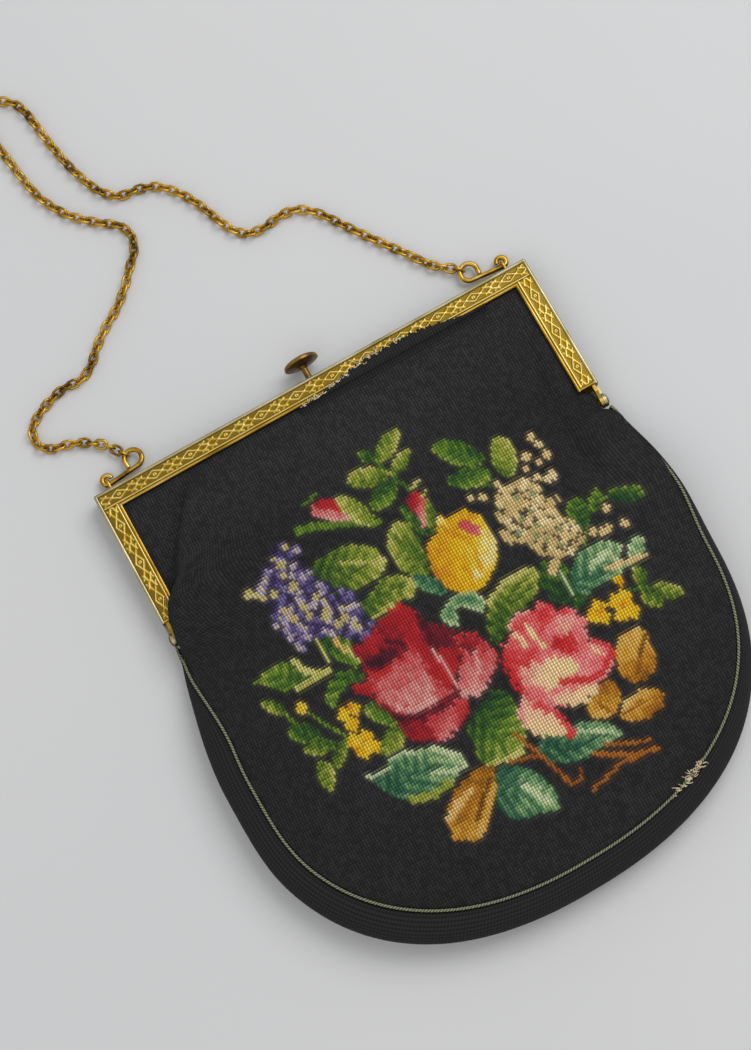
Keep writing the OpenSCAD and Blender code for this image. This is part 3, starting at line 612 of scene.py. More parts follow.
def leaf(base, tip, wide, shades, lit=1, tone=0.5):
    """A small oval leaf from base to tip, lighter on one side, towards its tip and along its edge."""
    b, t = np.array(base, float), np.array(tip, float)
    run = t - b
    size = np.hypot(*run)
    s = ((cell_x - b[0]) * run[0] + (cell_v - b[1]) * run[1]) / size ** 2
    c = ((cell_x - b[0]) * run[1] - (cell_v - b[1]) * run[0]) / size
    share = c / np.maximum(wide / 2 * np.clip(4 * s * (1 - s), 0, 1) ** 0.55, 0.1)
    stripe = np.cos(2 * np.pi * (s * size - 0.8 * np.abs(c)) / RIB_SMALL) - 0.5
    shade = tone + 0.2 * lit * share + 0.25 * (s - 0.5) + 0.1 * (np.abs(share) > 0.75) + 0.15 * stripe
    stitch((s > 0) & (s < 1) & (np.abs(share) < 1), shades, shade, 0.18)


def floret(x, v, size, shades, tone, heart=None):
    """A small four-petalled flower: stitches within a star round its place, with a bright heart."""
    dx, dv = np.abs(cell_x - x), np.abs(cell_v - v)
    stitch((dx + dv < size) | (np.maximum(dx, dv) < size * 0.45), shades, tone + 0 * dx, 0.2)
    if heart:
        stitch(np.maximum(dx, dv) < max(0.6, size * 0.3), heart, 0.6 + 0 * dx, 0.3)


def cluster(outline, shades, heart, spacing, size, low, high):
    """Florets scattered over an outline: an even grid of places, each moved a little."""
    pts = np.array(outline, float)
    (x1, v1), (x2, v2) = pts.min(0), pts.max(0)
    gx, gv = np.meshgrid(np.arange(x1, x2, spacing), np.arange(v1, v2, spacing))
    gx = gx + rng.uniform(-0.45, 0.45, gx.shape) * spacing
    gv = gv + rng.uniform(-0.45, 0.45, gv.shape) * spacing
    tones = rng.uniform(low, high, gx.shape)
    near = inside(outline)
    for x, v, tone in zip(gx.ravel(), gv.ravel(), tones.ravel()):
        if near[np.argmin(np.hypot(cell_x - x, cell_v - v))]:
            floret(x, v, size, shades, tone, heart if tone > mix(low, high, 0.5) else None)


# Stems at the back of the bouquet: points, width, tone
for stem in (([(4, 36), (8, 49), (11, 57)], 1.6, 0.4), ([(24, 62), (36, 70), (42, 74)], 1.4, 0.35),
             ([(-57, 124), (-64, 116), (-68, 107)], 1.1, 0.5),
             ([(-60, 110), (-57, 116), (-52, 124), (-57, 130)], 1.2, 0.55),
             ([(58, 127), (67, 131), (70, 134)], 1.2, 0.5),
             ([(53, 106), (58, 99), (64, 92), (69, 95)], 1.2, 0.55)):
    line(stem[0], MOSS, *stem[1:])

# Small leaves: base, tip, width, shades, lit side, tone
for small in (((6, 42), (18, 34), 7, LIME, -1, 0.65), ((7, 48), (-7, 42), 8, LIME, -1, 0.6),
              ((8, 49), (18, 43), 5.5, LIME, 1, 0.6), ((8, 51), (-4, 57), 8, MOSS, 1, 0.5),
              ((3, 40), (3, 34), 4, MOSS, 1, 0.35), ((39, 61), (26, 46), 9, MOSS, 1, 0.5),
              ((24, 61), (39, 67), 8, MOSS, -1, 0.55), ((44, 71), (48, 55), 9, LIME, -1, 0.7),
              ((-67, 107), (-74, 98), 4.5, LIME, 1, 0.55), ((-60, 119), (-70, 112), 7, MOSS, 1, 0.4),
              ((-57, 125), (-68, 121), 5, LIME, 1, 0.5), ((-53, 125), (-61, 132), 5, LIME, 1, 0.5),
              ((-64, 127), (-66, 138), 6, LIME, 1, 0.6), ((-33, 129), (-41, 118), 7, MOSS, 1, 0.6),
              ((-32, 131), (-44, 136), 7.5, LIME, 1, 0.55), ((64, 130), (66, 121), 5, LIME, 1, 0.5),
              ((67, 138), (62, 131), 5, LIME, 1, 0.55), ((67, 131), (75, 138), 6, LIME, 1, 0.55),
              ((40, 125), (47, 117), 5, MOSS, 1, 0.45), ((55, 100), (60, 89), 8, MOSS, 1, 0.45),
              ((62, 97), (68, 90), 4, MOSS, 1, 0.5), ((69, 94), (79, 100), 6.5, MOSS, 1, 0.35),
              ((66, 120), (71, 112), 6, TEAL, 1, 0.75)):
    leaf(*small)

# Large leaves: outline, shades, the way they lighten, darkest and lightest shade, edge
for large in (
        ([(-36, 65), (-31, 63.5), (-25, 62.5), (-18, 64), (-13, 67), (-9.5, 71), (-9, 76), (-12, 79.5),
          (-18, 80.5), (-25, 80), (-31, 78), (-35, 73)], LIME, (1, 0.2), 0.1, 0.85, 0.08),
        ([(-28, 86), (-20, 84), (-14, 81.5), (-9, 82), (-5, 85), (-4, 89), (-7, 92.5), (-14, 91.5),
          (-20, 93), (-26, 93)], LIME, (1, 0.3), 0.15, 0.85, 0.1),
        ([(-7, 77), (-6, 71), (-3, 67), (0, 65), (4, 67), (5, 75), (4, 84), (2, 88), (-3, 87), (-6, 82)],
         LIME, (-1, -0.6), 0.2, 0.9, 0.08),
        ([(-73, 91), (-66, 89), (-60, 89.5), (-57, 93), (-54, 100), (-60, 99.5), (-65, 99), (-68, 95)],
         MOSS, (-0.4, -1), 0.35, 0.75, 0.1),
        ([(-45, 88), (-39, 89), (-35, 94), (-34, 103), (-37, 105), (-41, 100), (-44, 95)], MOSS, (1, 0.3),
         0.1, 0.8, 0.1),
        ([(-52, 113), (-53, 109), (-49, 105), (-44, 103), (-39, 104.5), (-36, 108), (-37, 110),
          (-42, 108.5), (-47, 110), (-50, 113)], MOSS, (-1, 0.6), 0.3, 0.7, 0.05),
        ([(33, 108), (38, 104), (44, 109), (45, 119), (40, 123), (34, 118)], MOSS, (0.3, -1), 0.1, 0.45),
        ([(9, 119), (11, 112), (16, 107), (22, 104), (30, 103.5), (34, 104.5), (34.5, 108), (31, 113),
          (26, 115), (20, 116), (14, 121), (10, 122)], LIME, (0.5, -1), 0.1, 0.8, 0.12),
        ([(43, 119), (45, 111), (50, 107.5), (57, 107), (62, 109.5), (65, 113), (61, 116), (66, 119.5),
          (58, 121), (50, 121.5), (45, 122)], TEAL, (1, -0.2), 0.35, 0.8, 0.1),
        ([(-11, 140), (-6, 138), (1, 135), (5, 138), (5, 150), (2, 157), (-2, 160), (-6, 159), (-12, 158),
          (-15, 155), (-14, 144)], MOSS, (0.4, 1), 0.2, 0.95, 0.05),
        ([(-52, 140.5), (-47, 141.5), (-43, 139), (-38, 138.7), (-33, 140.5), (-27, 142), (-24, 144),
          (-20, 149), (-19, 153), (-24, 155), (-30, 158), (-38, 157), (-42, 155), (-46, 152), (-49, 148),
          (-51, 144)], TEAL, (1, -0.3), 0.2, 0.85, 0.12),
        ([(-14, 161), (-9, 160), (-5, 162), (-1, 166), (1, 170), (2, 176), (1.5, 181), (0, 183.5),
          (-4, 181.5), (-10, 180), (-14, 179), (-17, 176), (-18, 172), (-16, 166)], TEAL, (0.8, 0.5), 0.2,
         0.95, -0.2),
        ([(4, 160), (9, 157), (15, 160), (22, 160), (30, 165), (33, 171), (26, 171), (18, 172), (10, 170),
          (5, 166)], TEAL, (1, 0.2), 0.2, 0.75, 0.1)):
    petal(*large, veins=0.17)
for vein in (([(-34, 71), (-27, 74), (-17, 74)], LIME, 1.5, 0.3),
             ([(-23, 69), (-15, 73), (-10, 76)], LIME, 1.8, 0.9),
             ([(-25, 88), (-15, 86.5), (-8, 87)], LIME, 1.4, 0.35),
             ([(-25, 92.5), (-15, 91.5)], LIME, 1.8, 0.9), ([(-2, 69), (0, 78), (0, 87)], LIME, 1.4, 0.4),
             ([(-56, 91), (-54, 97), (-48, 100.5)], LIME, 2.2, 1.0),
             ([(-60, 100.5), (-46, 100.5)], LIME, 1.6, 0.95), ([(-45, 87), (-45, 98)], LIME, 1.8, 0.95),
             ([(-39, 92), (-38, 98)], GOLD, 1.8, 0.85), ([(-36, 97), (-35, 103)], LIME, 1.4, 0.95),
             ([(11, 118), (18, 111), (28, 107)], LIME, 1.4, 0.3),
             ([(15, 107.5), (22, 104.5), (32, 104)], LIME, 2.0, 0.95),
             ([(42, 110), (42, 119)], TEAL, 1.3, 0.85), ([(52, 114), (58, 112)], TEAL, 2.6, 1.0),
             ([(56, 117), (61, 118), (70, 119.5)], IVORY, 2.0, 0.7),
             ([(46, 116), (54, 118)], TEAL, 1.8, 0.25),
             ([(-5, 140), (-6, 150), (-6, 158)], MOSS, 1.3, 0.4),
             ([(-13, 157), (-5, 159), (-1, 159)], LIME, 1.8, 0.95),
             ([(-52, 140.5), (-44, 141.5)], TEAL, 1.3, 1.0),
             ([(-43, 139), (-38, 138.8), (-34, 140.5)], TEAL, 1.5, 1.0),
             ([(-47, 150), (-38, 147), (-28, 149)], TEAL, 1.6, 0.2),
             ([(-42, 155), (-35, 157), (-28, 156)], LIME, 3.0, 0.7),
             ([(-32, 150), (-25, 153), (-20, 154)], TEAL, 1.6, 1.0),
             ([(-27, 143), (-22, 149)], TEAL, 2.2, 0.95),
             ([(-10, 164), (-8, 172), (-5, 180)], TEAL, 1.6, 0.35),
             ([(-6, 170), (-2, 178)], TEAL, 2.4, 1.0), ([(9, 166), (18, 167), (28, 168)], TEAL, 1.5, 0.2),
             ([(19, 162), (29, 168)], TEAL, 1.8, 0.95)):
    line(*vein)

# Brown twigs and autumn leaves
for twig in (([(0, 152), (4, 163), (7, 172), (8, 177)], 1.4, 0.45),
             ([(8, 177), (12, 178), (14, 174)], 1.2, 0.4), ([(-6, 160), (4, 163)], 1.4, 0.4),
             ([(20, 172), (26, 176), (33, 180), (40, 182)], 1.8, 0.6),
             ([(14, 183), (26, 180), (34, 181)], 1.4, 0.5), ([(25, 171), (32, 175), (39, 178)], 1.3, 0.5)):
    line(twig[0], STEM, *twig[1:])
for autumn in (([(48, 140.5), (52, 141), (56, 140.8), (57, 143.5), (56, 153), (53, 157.5), (48, 158.5),
                 (44, 157.5), (42, 153), (43, 148), (45, 144)], (0.1, -1), 0.3, 0.85),
               ([(25.5, 157), (30, 154), (35, 152), (38, 152), (39, 155), (38, 160), (34, 163), (29, 163),
                 (25.5, 161)], (-0.6, 1), 0.3, 0.75),
               ([(34, 166), (38, 161.5), (45, 160.5), (50, 162.5), (51.5, 166), (49, 170), (43, 171),
                 (37, 169)], (-0.4, -1), 0.3, 0.85),
               ([(-12, 157.5), (-17, 156.5), (-23, 157.5), (-28, 159.5), (-33, 163.5), (-36, 168.5),
                 (-35, 171), (-37, 174), (-33, 176), (-30, 178.5), (-25, 176.5), (-18, 168),
                 (-12.5, 160.5)], (-0.3, 1), 0.3, 0.6)):
    petal(autumn[0], GOLD, *autumn[1:])
for vein in (([(-34, 167), (-29, 164), (-23, 162.5)], 3.0, 0.9),
             ([(-35, 170), (-28, 168.5), (-20, 162)], 2.4, 0.4),
             ([(-15, 162), (-20, 166), (-26, 172)], 1.7, 0.08),
             ([(-28, 177), (-22, 172), (-15, 164.5)], 2.8, 0.75),
             ([(56, 145), (51, 150), (47, 156)], 1.7, 0.2), ([(44, 155), (49, 157), (54, 154)], 2.4, 0.3),
             ([(33, 153), (31, 158), (32, 162)], 1.4, 0.25),
             ([(36, 165), (43, 164.5), (50, 166)], 1.4, 0.3)):
    line(vein[0], GOLD, *vein[1:])

# Purple lilac: loose florets with cream hearts over a dark shade
purple = [(-46, 54), (-43, 51), (-38, 51), (-34, 57), (-36, 64), (-33, 70), (-28, 76), (-24, 82),
          (-25, 88), (-23, 95), (-28, 98), (-34, 94), (-38, 90), (-46, 88), (-52, 90), (-54, 84),
          (-56, 77), (-53, 70), (-54, 64), (-50, 59)]
stitch(inside(purple) & (uneven > -0.45), LILAC, 0.06 + 0 * cell_x, 0.1)
cluster(purple, LILAC, CREAMY, 3.0, 1.75, 0.2, 1.0)
cluster([(-60, 60), (-54, 60), (-53, 66), (-58, 68)], CREAMY, None, 2.8, 1.7, 0.3, 0.9)
for x, v in ((-42, 58), (-43, 62), (-49, 66), (-42, 67), (-49, 74), (-37, 75), (-48, 78), (-43, 76),
             (-43, 80), (-36, 81), (-38, 83), (-35, 88), (-32, 87), (-30, 92)):
    floret(x, v, 1.9, CREAMY, 0.5)

# Cream lilac with grey-green shadows and dark gaps
ivory = [(33, 80), (36, 75), (40, 73.5), (47, 74), (53, 74), (55, 78), (52, 82), (56, 87), (51, 90),
         (53, 94), (55.5, 99), (55, 104), (49, 107), (42, 106), (38, 102), (36, 95), (31, 93), (30, 88),
         (34, 85), (31, 83)]
stitch(inside(ivory) & (uneven > 0), IVORY, 0.3 + 0 * cell_x, 0.25)
cluster(ivory, IVORY, ["#D8B880", "#E4D2A4"], 3.0, 1.8, 0.35, 1.0)
cluster([(55, 76), (61, 76), (60, 81), (55, 81)], IVORY, None, 2.8, 1.8, 0.5, 1.0)
for x, v in ((58, 61), (59, 65), (53, 67), (60, 70), (56, 71), (51, 71), (39, 71), (28, 71), (32, 73),
             (61, 105), (66, 98), (63, 105), (58, 103), (69, 106), (39, 109), (41, 107)):
    floret(x, v, 1.9, IVORY, 0.7)
for x, v in ((42, 79), (48, 81), (44, 86), (40, 87), (43, 92), (43, 98), (46, 102), (36, 91), (49, 97),
             (41, 95)):
    floret(x, v, 1.5, ["#56643C", "#7C8658", "#98A070"], 0.5)

# Two rosebuds with their sepals
line([(-31, 50), (-25, 51.5), (-12, 58), (-5, 62)], MOSS, 3.0, 0.55)
petal([(-24, 47), (-22, 44), (-18, 43), (-13, 49), (-11, 55), (-14, 56), (-20, 52)], ROSE, (-0.5, 1), 0.2,
      0.95)
petal([(-22, 44), (-18, 43), (-13, 48), (-11, 53), (-15, 51), (-20, 47)], RED, (1, 0.4), 0.3, 0.8)
leaf((-6, 62), (-13, 46), 7, LIME, 1, 0.75)
line([(-25, 42), (-19, 41)], MOSS, 1.3, 0.5)
leaf((9, 76), (5, 61), 5, MOSS, 1, 0.4)
petal([(7, 61), (10, 58.5), (13, 58.5), (14.5, 62), (13, 66), (10, 73), (8, 72), (9, 66)], ROSE, (0, 1),
      0.1, 0.95)
petal([(7, 61), (10, 58.5), (12, 60), (11, 64), (8, 65)], MAROON, (1, 0.3), 0.4, 0.9)
leaf((10, 76), (15, 63), 4, LIME, 1, 0.45)
line([(11, 57), (16, 55.5)], LIME, 1.3, 0.95)
line([(13, 62), (16, 60)], LIME, 1.2, 0.95)

# Yellow rose, palest low on the right, with a teal calyx
petal([(-3, 104), (1, 101), (5, 99), (12, 101), (14.5, 106), (11, 110), (7, 105), (4, 104), (2, 110),
       (-1, 108)], TEAL, (0, 1), 0.3, 0.6, 0.4)
leaf((4, 97), (-4, 86), 6, TEAL, 1, 0.4)
for part in (([(3.5, 90), (4, 82), (7, 78), (12, 76), (13, 72), (15, 70.5), (17, 73.5), (24, 73), (26, 76),
               (28, 79), (28.5, 84), (28, 90), (25.5, 95), (21, 99), (16, 102), (10, 101), (5, 97)],
              YELLOW, (1, 0.2), 0.2, 0.75),
             ([(3.5, 90), (4, 82), (7, 78), (10, 77), (8, 85), (8, 97), (5, 97)], YELLOW, (1, 0), 0.05,
              0.4),
             ([(16, 74), (24, 73), (26, 76), (27, 79), (20, 79), (16, 78)], YELLOW, (0.2, -1), 0.2, 0.5),
             ([(13, 77), (13, 72), (15, 70.5), (17, 76)], YELLOW, (0, -1), 0.7, 1.0),
             ([(18, 83), (24, 86), (28, 82), (28, 90), (25, 95), (18, 98), (14, 99)], YELLOW, (0.7, 0.7),
              0.6, 1.0),
             ([(19, 76), (22, 77), (25.5, 81), (25, 85.5), (22, 84), (20, 80)], ROSE, (0.4, 1), 0.2, 0.7)):
    petal(*part)
for fold in (([(9, 80), (13, 88), (15, 97)], 1.4, 0.3), ([(17, 79), (20, 87), (18, 97)], 1.4, 0.35),
             ([(14, 75), (16, 80), (21, 84)], 1.6, 0.2), ([(26, 84), (24, 90)], 1.8, 1.0)):
    line(fold[0], YELLOW, *fold[1:])

# Dark red rose: back petals, heart, right side, bowl, shadow, lower petals and the one that opens
for part in (
        ([(-35, 98), (-29, 97), (-24, 95), (-20, 93.5), (-14, 92), (-11, 93), (-10, 98), (-7, 103),
          (-3, 106.5), (-1, 110), (-3, 120), (-9, 126), (-9, 136), (-12, 139), (-21, 143), (-31, 138),
          (-34, 128), (-37, 118), (-35, 106)], MAROON, (0.2, -1), 0.3, 0.55),
        ([(-24, 95), (-20, 93.5), (-14, 92), (-11, 93), (-10, 97), (-10, 101), (-14, 100), (-20, 98)], RED,
         (0.6, -1), 0.2, 0.6),
        ([(-35, 98), (-29, 97), (-25, 97), (-21, 100), (-24, 103), (-30, 104), (-35, 105)], MAROON,
         (0.5, -1), 0.45, 0.9),
        ([(-33, 105), (-28, 103), (-24, 104), (-22, 107), (-26, 110), (-31, 109)], MAROON, (0.4, -1), 0.0,
         0.25),
        ([(-22, 100), (-14, 100), (-11, 102), (-12, 108), (-18, 106), (-22, 104)], MAROON, (1, 0), 0.55,
         0.85),
        ([(-10, 98), (-7, 103), (-3, 106.5), (-1, 110), (-3, 114), (-9, 116), (-10.5, 108)], MAROON,
         (1, -0.4), 0.1, 0.45),
        ([(-10, 113), (-4, 114), (-2, 118), (-6, 123), (-9.5, 126)], RED, (-0.6, 0.4), 0.3, 0.7),
        ([(-35, 108), (-33, 110.5), (-27, 110.5), (-24, 108.5), (-20, 110), (-17, 105.5), (-12, 103.5),
          (-10.5, 112), (-9.5, 126), (-12, 129), (-17, 130), (-24, 129), (-30, 127), (-34, 123),
          (-37, 117), (-37, 113)], ROSE, (0.1, 1), 0.15, 0.55),
        ([(-34, 112), (-28, 112), (-23, 111), (-18, 108), (-16, 112), (-15.5, 122), (-18, 127), (-25, 127),
          (-31, 124), (-35, 118)], ROSE, (0.1, 1), 0.42, 0.85),
        ([(-15.5, 105), (-12, 104), (-10.5, 112), (-10, 126), (-13, 128), (-15, 122)], RED, (0, 1), 0.3,
         0.6),
        ([(-42, 111), (-39, 110), (-36, 111.5), (-36, 116), (-39, 116)], RED, (0.6, -1), 0.2, 0.7),
        ([(-34, 126), (-29, 129), (-22, 131), (-14, 131.5), (-9, 129), (-9, 132.5), (-16, 133),
          (-24, 133.5), (-33, 131)], MAROON, (0, 1), 0.05, 0.4),
        ([(-34, 130), (-25, 133), (-24, 141), (-28, 139), (-31, 138), (-33, 134)], MAROON, (0.5, 1), 0.45,
         0.9),
        ([(-25, 133), (-17, 133), (-17, 140), (-21, 143), (-24, 142)], ROSE, (0.3, 0.6), 0.2, 0.75),
        ([(-17, 133), (-9, 131.5), (-9, 136), (-12, 139), (-17, 141)], ROSE, (-0.4, -0.3), 0.1, 0.6),
        ([(-2, 113.5), (1, 112.5), (4, 113.5), (6, 116), (7.5, 121), (8, 126), (5, 130), (1, 132),
          (-2, 134), (-6, 134), (-9.5, 132), (-9.5, 129), (-6, 124), (-2, 119)], ROSE, (-0.3, 1), 0.2,
         0.85),
        ([(-1, 115), (3, 114.5), (5.5, 118), (4, 121), (0, 120)], MAROON, (1, -0.4), 0.35, 0.7)):
    petal(*part, blur=ROSE_BLUR)
for fold in (([(-23, 102), (-18, 106)], MAROON, 1.6, 0.15),
             ([(-31, 125), (-26, 128), (-18, 128.5)], ROSE, 2.0, 0.95),
             ([(-10, 113), (-9.5, 120), (-9.5, 128)], ROSE, 1.2, 0.85),
             ([(-35, 115), (-27, 118), (-20, 118.5)], ROSE, 1.3, 0.45),
             ([(-9, 131), (-5, 133), (-1, 133)], ROSE, 1.8, 0.95), ([(2, 121), (0, 128)], ROSE, 1.6, 0.9),
             ([(-34, 108), (-32, 111), (-26, 111)], RED, 1.4, 0.7)):
    line(*fold)

# Pink rose: red folds, pale laps, a red heart and a cream middle
for part in (
        ([(9, 143), (5, 145.5), (3.5, 150), (5, 154.5), (9, 158), (14, 160.5), (16.5, 163), (18, 161),
          (18, 155), (15.5, 150), (12.5, 145.5)], CREAM, (-0.3, 0.5), 0.2, 0.8),
        ([(9, 143), (12, 145), (16, 150), (18, 155), (18, 162), (16.5, 163.5), (16, 157), (13, 151),
          (10.5, 147)], PINK, (0.3, 1), 0.5, 0.2),
        ([(15, 122), (17, 119), (19, 117), (22, 116), (25, 117.5), (26, 120), (28, 117.5), (30, 116.5),
          (33, 118.5), (33.5, 121), (36, 123), (39, 124.5), (40.5, 127), (40, 131), (38, 134.5),
          (40.5, 137.5), (43.5, 140.5), (44.5, 144), (42, 147), (36, 150.5), (32, 153.5), (27, 154.5),
          (21, 153), (16, 150.5), (13, 147), (10, 143.5), (8.5, 139), (8, 133), (9.5, 127), (12, 123.5)],
         PINK, (0.2, 1), 0.45, 0.75),
        ([(8, 133), (9.5, 127), (13, 123.5), (16, 122), (14, 128), (11, 134), (10.5, 143), (8.5, 139)],
         PINK, (1, 0.1), 0.05, 0.4),
        ([(17, 120), (20, 117), (24, 118), (25, 121), (21, 122), (17, 122)], PINK, (0, -1), 0.15, 0.5),
        ([(26, 120), (28, 117.5), (30, 116.7), (33, 118.5), (33, 121.5), (29, 122.5), (26, 122)], PINK,
         (0, -1), 0.2, 0.5),
        ([(14, 128), (20, 127), (22, 131), (18, 134), (13, 134)], PINK, (0.3, -1), 0.2, 0.5),
        ([(27, 126), (31, 124), (36, 124), (39.5, 126.5), (40, 131), (36, 133), (30, 131)], PINK,
         (0.4, -0.5), 0.5, 0.9),
        ([(31, 127), (35, 126), (37, 128.5), (34, 130.5), (31, 129.5)], CREAM, (0.3, -1), 0.1, 0.4),
        ([(26, 131), (30, 130), (34, 131), (34.5, 135), (31, 139), (28, 136)], PINK, (0.4, 1), 0.0, 0.2),
        ([(12, 134), (18, 134), (20, 136), (14, 141), (11, 141)], CREAM, (1, 0.2), 0.0, 0.35),
        ([(14, 139), (18, 137), (22, 134.5), (26, 136), (31, 140), (31, 143), (26, 144.5), (21, 145.5),
          (16, 144)], CREAM, (0.5, 0.4), 0.45, 1.0),
        ([(34, 141), (39, 137.5), (43.5, 140.5), (44.5, 144), (40, 146), (36, 146), (33, 144)], PINK,
         (-0.6, -0.3), 0.4, 0.85),
        ([(16, 147), (22, 148), (28, 150), (33, 150.5), (32, 153.5), (27, 154.5), (21, 153)], CREAM,
         (0.3, 0.5), 0.3, 0.8)):
    petal(*part, blur=ROSE_BLUR)
for fold in (([(17, 119), (19, 117), (22, 116.3), (25, 117.6)], PINK, 1.3, 0.95),
             ([(17.5, 122), (18.5, 127)], CREAM, 2.2, 0.5),
             ([(22, 121), (23, 126), (23.5, 131)], CREAM, 2.0, 0.7),
             ([(26, 125), (31, 122.7), (37, 123.7)], PINK, 1.4, 0.3),
             ([(23, 144.5), (28, 146.5), (33, 149), (37, 148.5), (42, 145)], PINK, 2.4, 0.12),
             ([(40, 138), (43.5, 142), (43, 146)], PINK, 1.4, 0.25),
             ([(38, 139), (40, 143)], CREAM, 1.4, 0.45), ([(6, 146), (4.5, 151)], PINK, 1.6, 0.85)):
    line(*fold)

# Small yellow flowers and two buds
for x, v in ((-49, 117), (-45, 117), (-48, 121), (-50, 127), (-46, 128), (-49, 132), (-45, 132), (44, 130),
             (47, 128), (47, 132), (53, 129), (57, 129), (53, 134), (57, 135), (55, 132)):
    floret(x, v, 3.2, YELLOW, 0.55)
for x, v in ((-46, 116), (-48, 129), (-51, 130), (46, 130), (48, 128), (55, 131)):
    floret(x, v, 1.5, YELLOW, 0.1)
floret(-61.5, 107.5, 2.4, YELLOW, 0.65)
petal([(56.5, 121), (59.5, 121), (59, 124.5), (57, 126)], YELLOW, (0, -1), 0.1, 0.6)

# Every thread is a little lighter or darker than the next; the ground is painted lighter towards the frame
# as sheen, and mottled in slow waves
mottle_and_painted_sheen = 1 + 0.35 * ease(60, cell_v, 40) + 0.12 * np.sin(cell_x / 19 + 1) * np.sin(cell_v / 27)
is_ground = threads.max(1) < 0.025
threads *= np.where(is_ground, mottle_and_painted_sheen, 1)[:, None] * (1 + 0.1 * rng.uniform(-1, 1, len(cell_x)))[:, None]


# Petit point: wool over fine canvas, one slanting stitch per cell, matt; each stitch is painted light on
# its hump and dark towards its edges and the hole at each corner, as painted highlight and shade
def petit_point(name, plain=None):
    """Slanting wool stitches of about 1.1 mm: an oval hump in each cell of the UV map, painted light on the
    hump and dark between them as painted highlight and shade.
    The colour is plain or comes from the piece's own thread attribute."""
    material, tree, shader = new_material(name)
    uv = add(tree, "UVMap", {"uv_map": "stitches"}).outputs["UV"]
    cell = add(tree, "VectorMath", {"operation": "FRACTION"}, {0: uv})
    middle = add(tree, "VectorMath", {"operation": "SUBTRACT"},
                 {0: cell.outputs["Vector"], 1: (0.5, 0.5, 0.0)})
    slant = add(tree, "Mapping", {"vector_type": "TEXTURE"},
                {"Vector": middle.outputs["Vector"], "Rotation": (0, 0, np.radians(STITCH_SLANT)),
                 "Scale": STITCH_OVAL})
    off = add(tree, "VectorMath", {"operation": "LENGTH"}, {0: slant.outputs["Vector"]})
    hump = add(tree, "MapRange", {"interpolation_type": "SMOOTHSTEP"},
               {"Value": off.outputs["Value"], "From Min": 0.58, "From Max": 0.16})
    spot = add(tree, "TexCoord").outputs["Object"]
    fuzz = add(tree, "TexNoise", {}, {"Vector": spot, "Scale": 1000 / 0.35, "Detail": 2.0})
    if plain:
        thread = add(tree, "Mix", {"data_type": "RGBA"},
                     {0: fuzz.outputs["Fac"], 6: ink(plain[0]), 7: ink(plain[1])}).outputs[2]
    else:
        thread = add(tree, "Attribute", {"attribute_name": "thread"}).outputs["Color"]
    # Colour scaled up on each hump and down between them: painted highlight and painted shade
    stitch_highlight_and_shade = add(tree, "MapRange", {}, {"Value": hump.outputs["Result"], "To Min": 0.4, "To Max": 1.3})
    hair = add(tree, "MapRange", {}, {"Value": fuzz.outputs["Fac"], "To Min": 0.86, "To Max": 1.14})
    shade = add(tree, "Math", {"operation": "MULTIPLY"},
                {0: stitch_highlight_and_shade.outputs["Result"], 1: hair.outputs["Result"]})
    colour = add(tree, "VectorMath", {"operation": "SCALE"}, {0: thread, "Scale": shade.outputs["Value"]})
    bump = add(tree, "Bump", {}, {"Strength": 0.55, "Distance": 0.0003,
                                           "Height": hump.outputs["Result"]})
    wire(tree, shader, {"Base Color": colour.outputs["Vector"], "Roughness": 0.88,
                        "Specular IOR Level": 0.25, "Normal": bump.outputs["Normal"]})
    return material


needlework = petit_point("petit_point_wool")
black_wool = petit_point("black_wool_tent_stitch", ("#1C1B1C", "#2A292A"))

# Front cloth: one sheet from the bar to the bottom seam
front_points = front_point(cloth_u, cloth_v)
front = piece("front_cloth", front_points, cloth_faces, needlework, None, (0, 0, 1))
lay_uv(front, even_u / STITCH, even_v / STITCH_H)
tint = front.data.color_attributes.new("thread", "FLOAT_COLOR", "CORNER")
corner_tint = np.ones((len(cloth_faces), 4, 4))
meeting = np.zeros((len(cloth_u), 4))
np.add.at(meeting, cloth_faces, np.c_[threads, np.ones(len(threads))][:, None])
corner_tint[:, :, :3] = mix(threads[:, None], (meeting[:, :3] / meeting[:, 3:])[cloth_faces], 0.35)
tint.data.foreach_set("color", corner_tint.ravel())
thicken(front, CLOTH_WALL)
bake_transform(front)
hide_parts("front_panel", "front_panel_mouth")

# Back cloth: plain black stitches on the same outline
BACK_STEP = 3
back_grid = panel_grid(BACK_STEP * STITCH, BACK_STEP * STITCH_H, 0.0)
back_u, back_v, back_even_u, back_even_v, back_faces = back_grid
near = np.clip(reach(back_u, back_v), 0, 1) ** 2
side, down = slump(back_u, back_v)
back_points = np.stack([back_u + side * near, TOP_Y - back_v - down * near, back_z(back_v) + 0.05], -1)
back = piece("back_cloth", back_points, back_faces, black_wool, "bag", (0, 0, -1))
lay_uv(back, back_even_u / STITCH, back_even_v / STITCH_H)
thicken(back, BACK_WALL)
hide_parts("back_panel")

# Gusset: one black band round the sides and the bottom
GUSSET_COLS = 17
GUSSET_STEP = 1.3


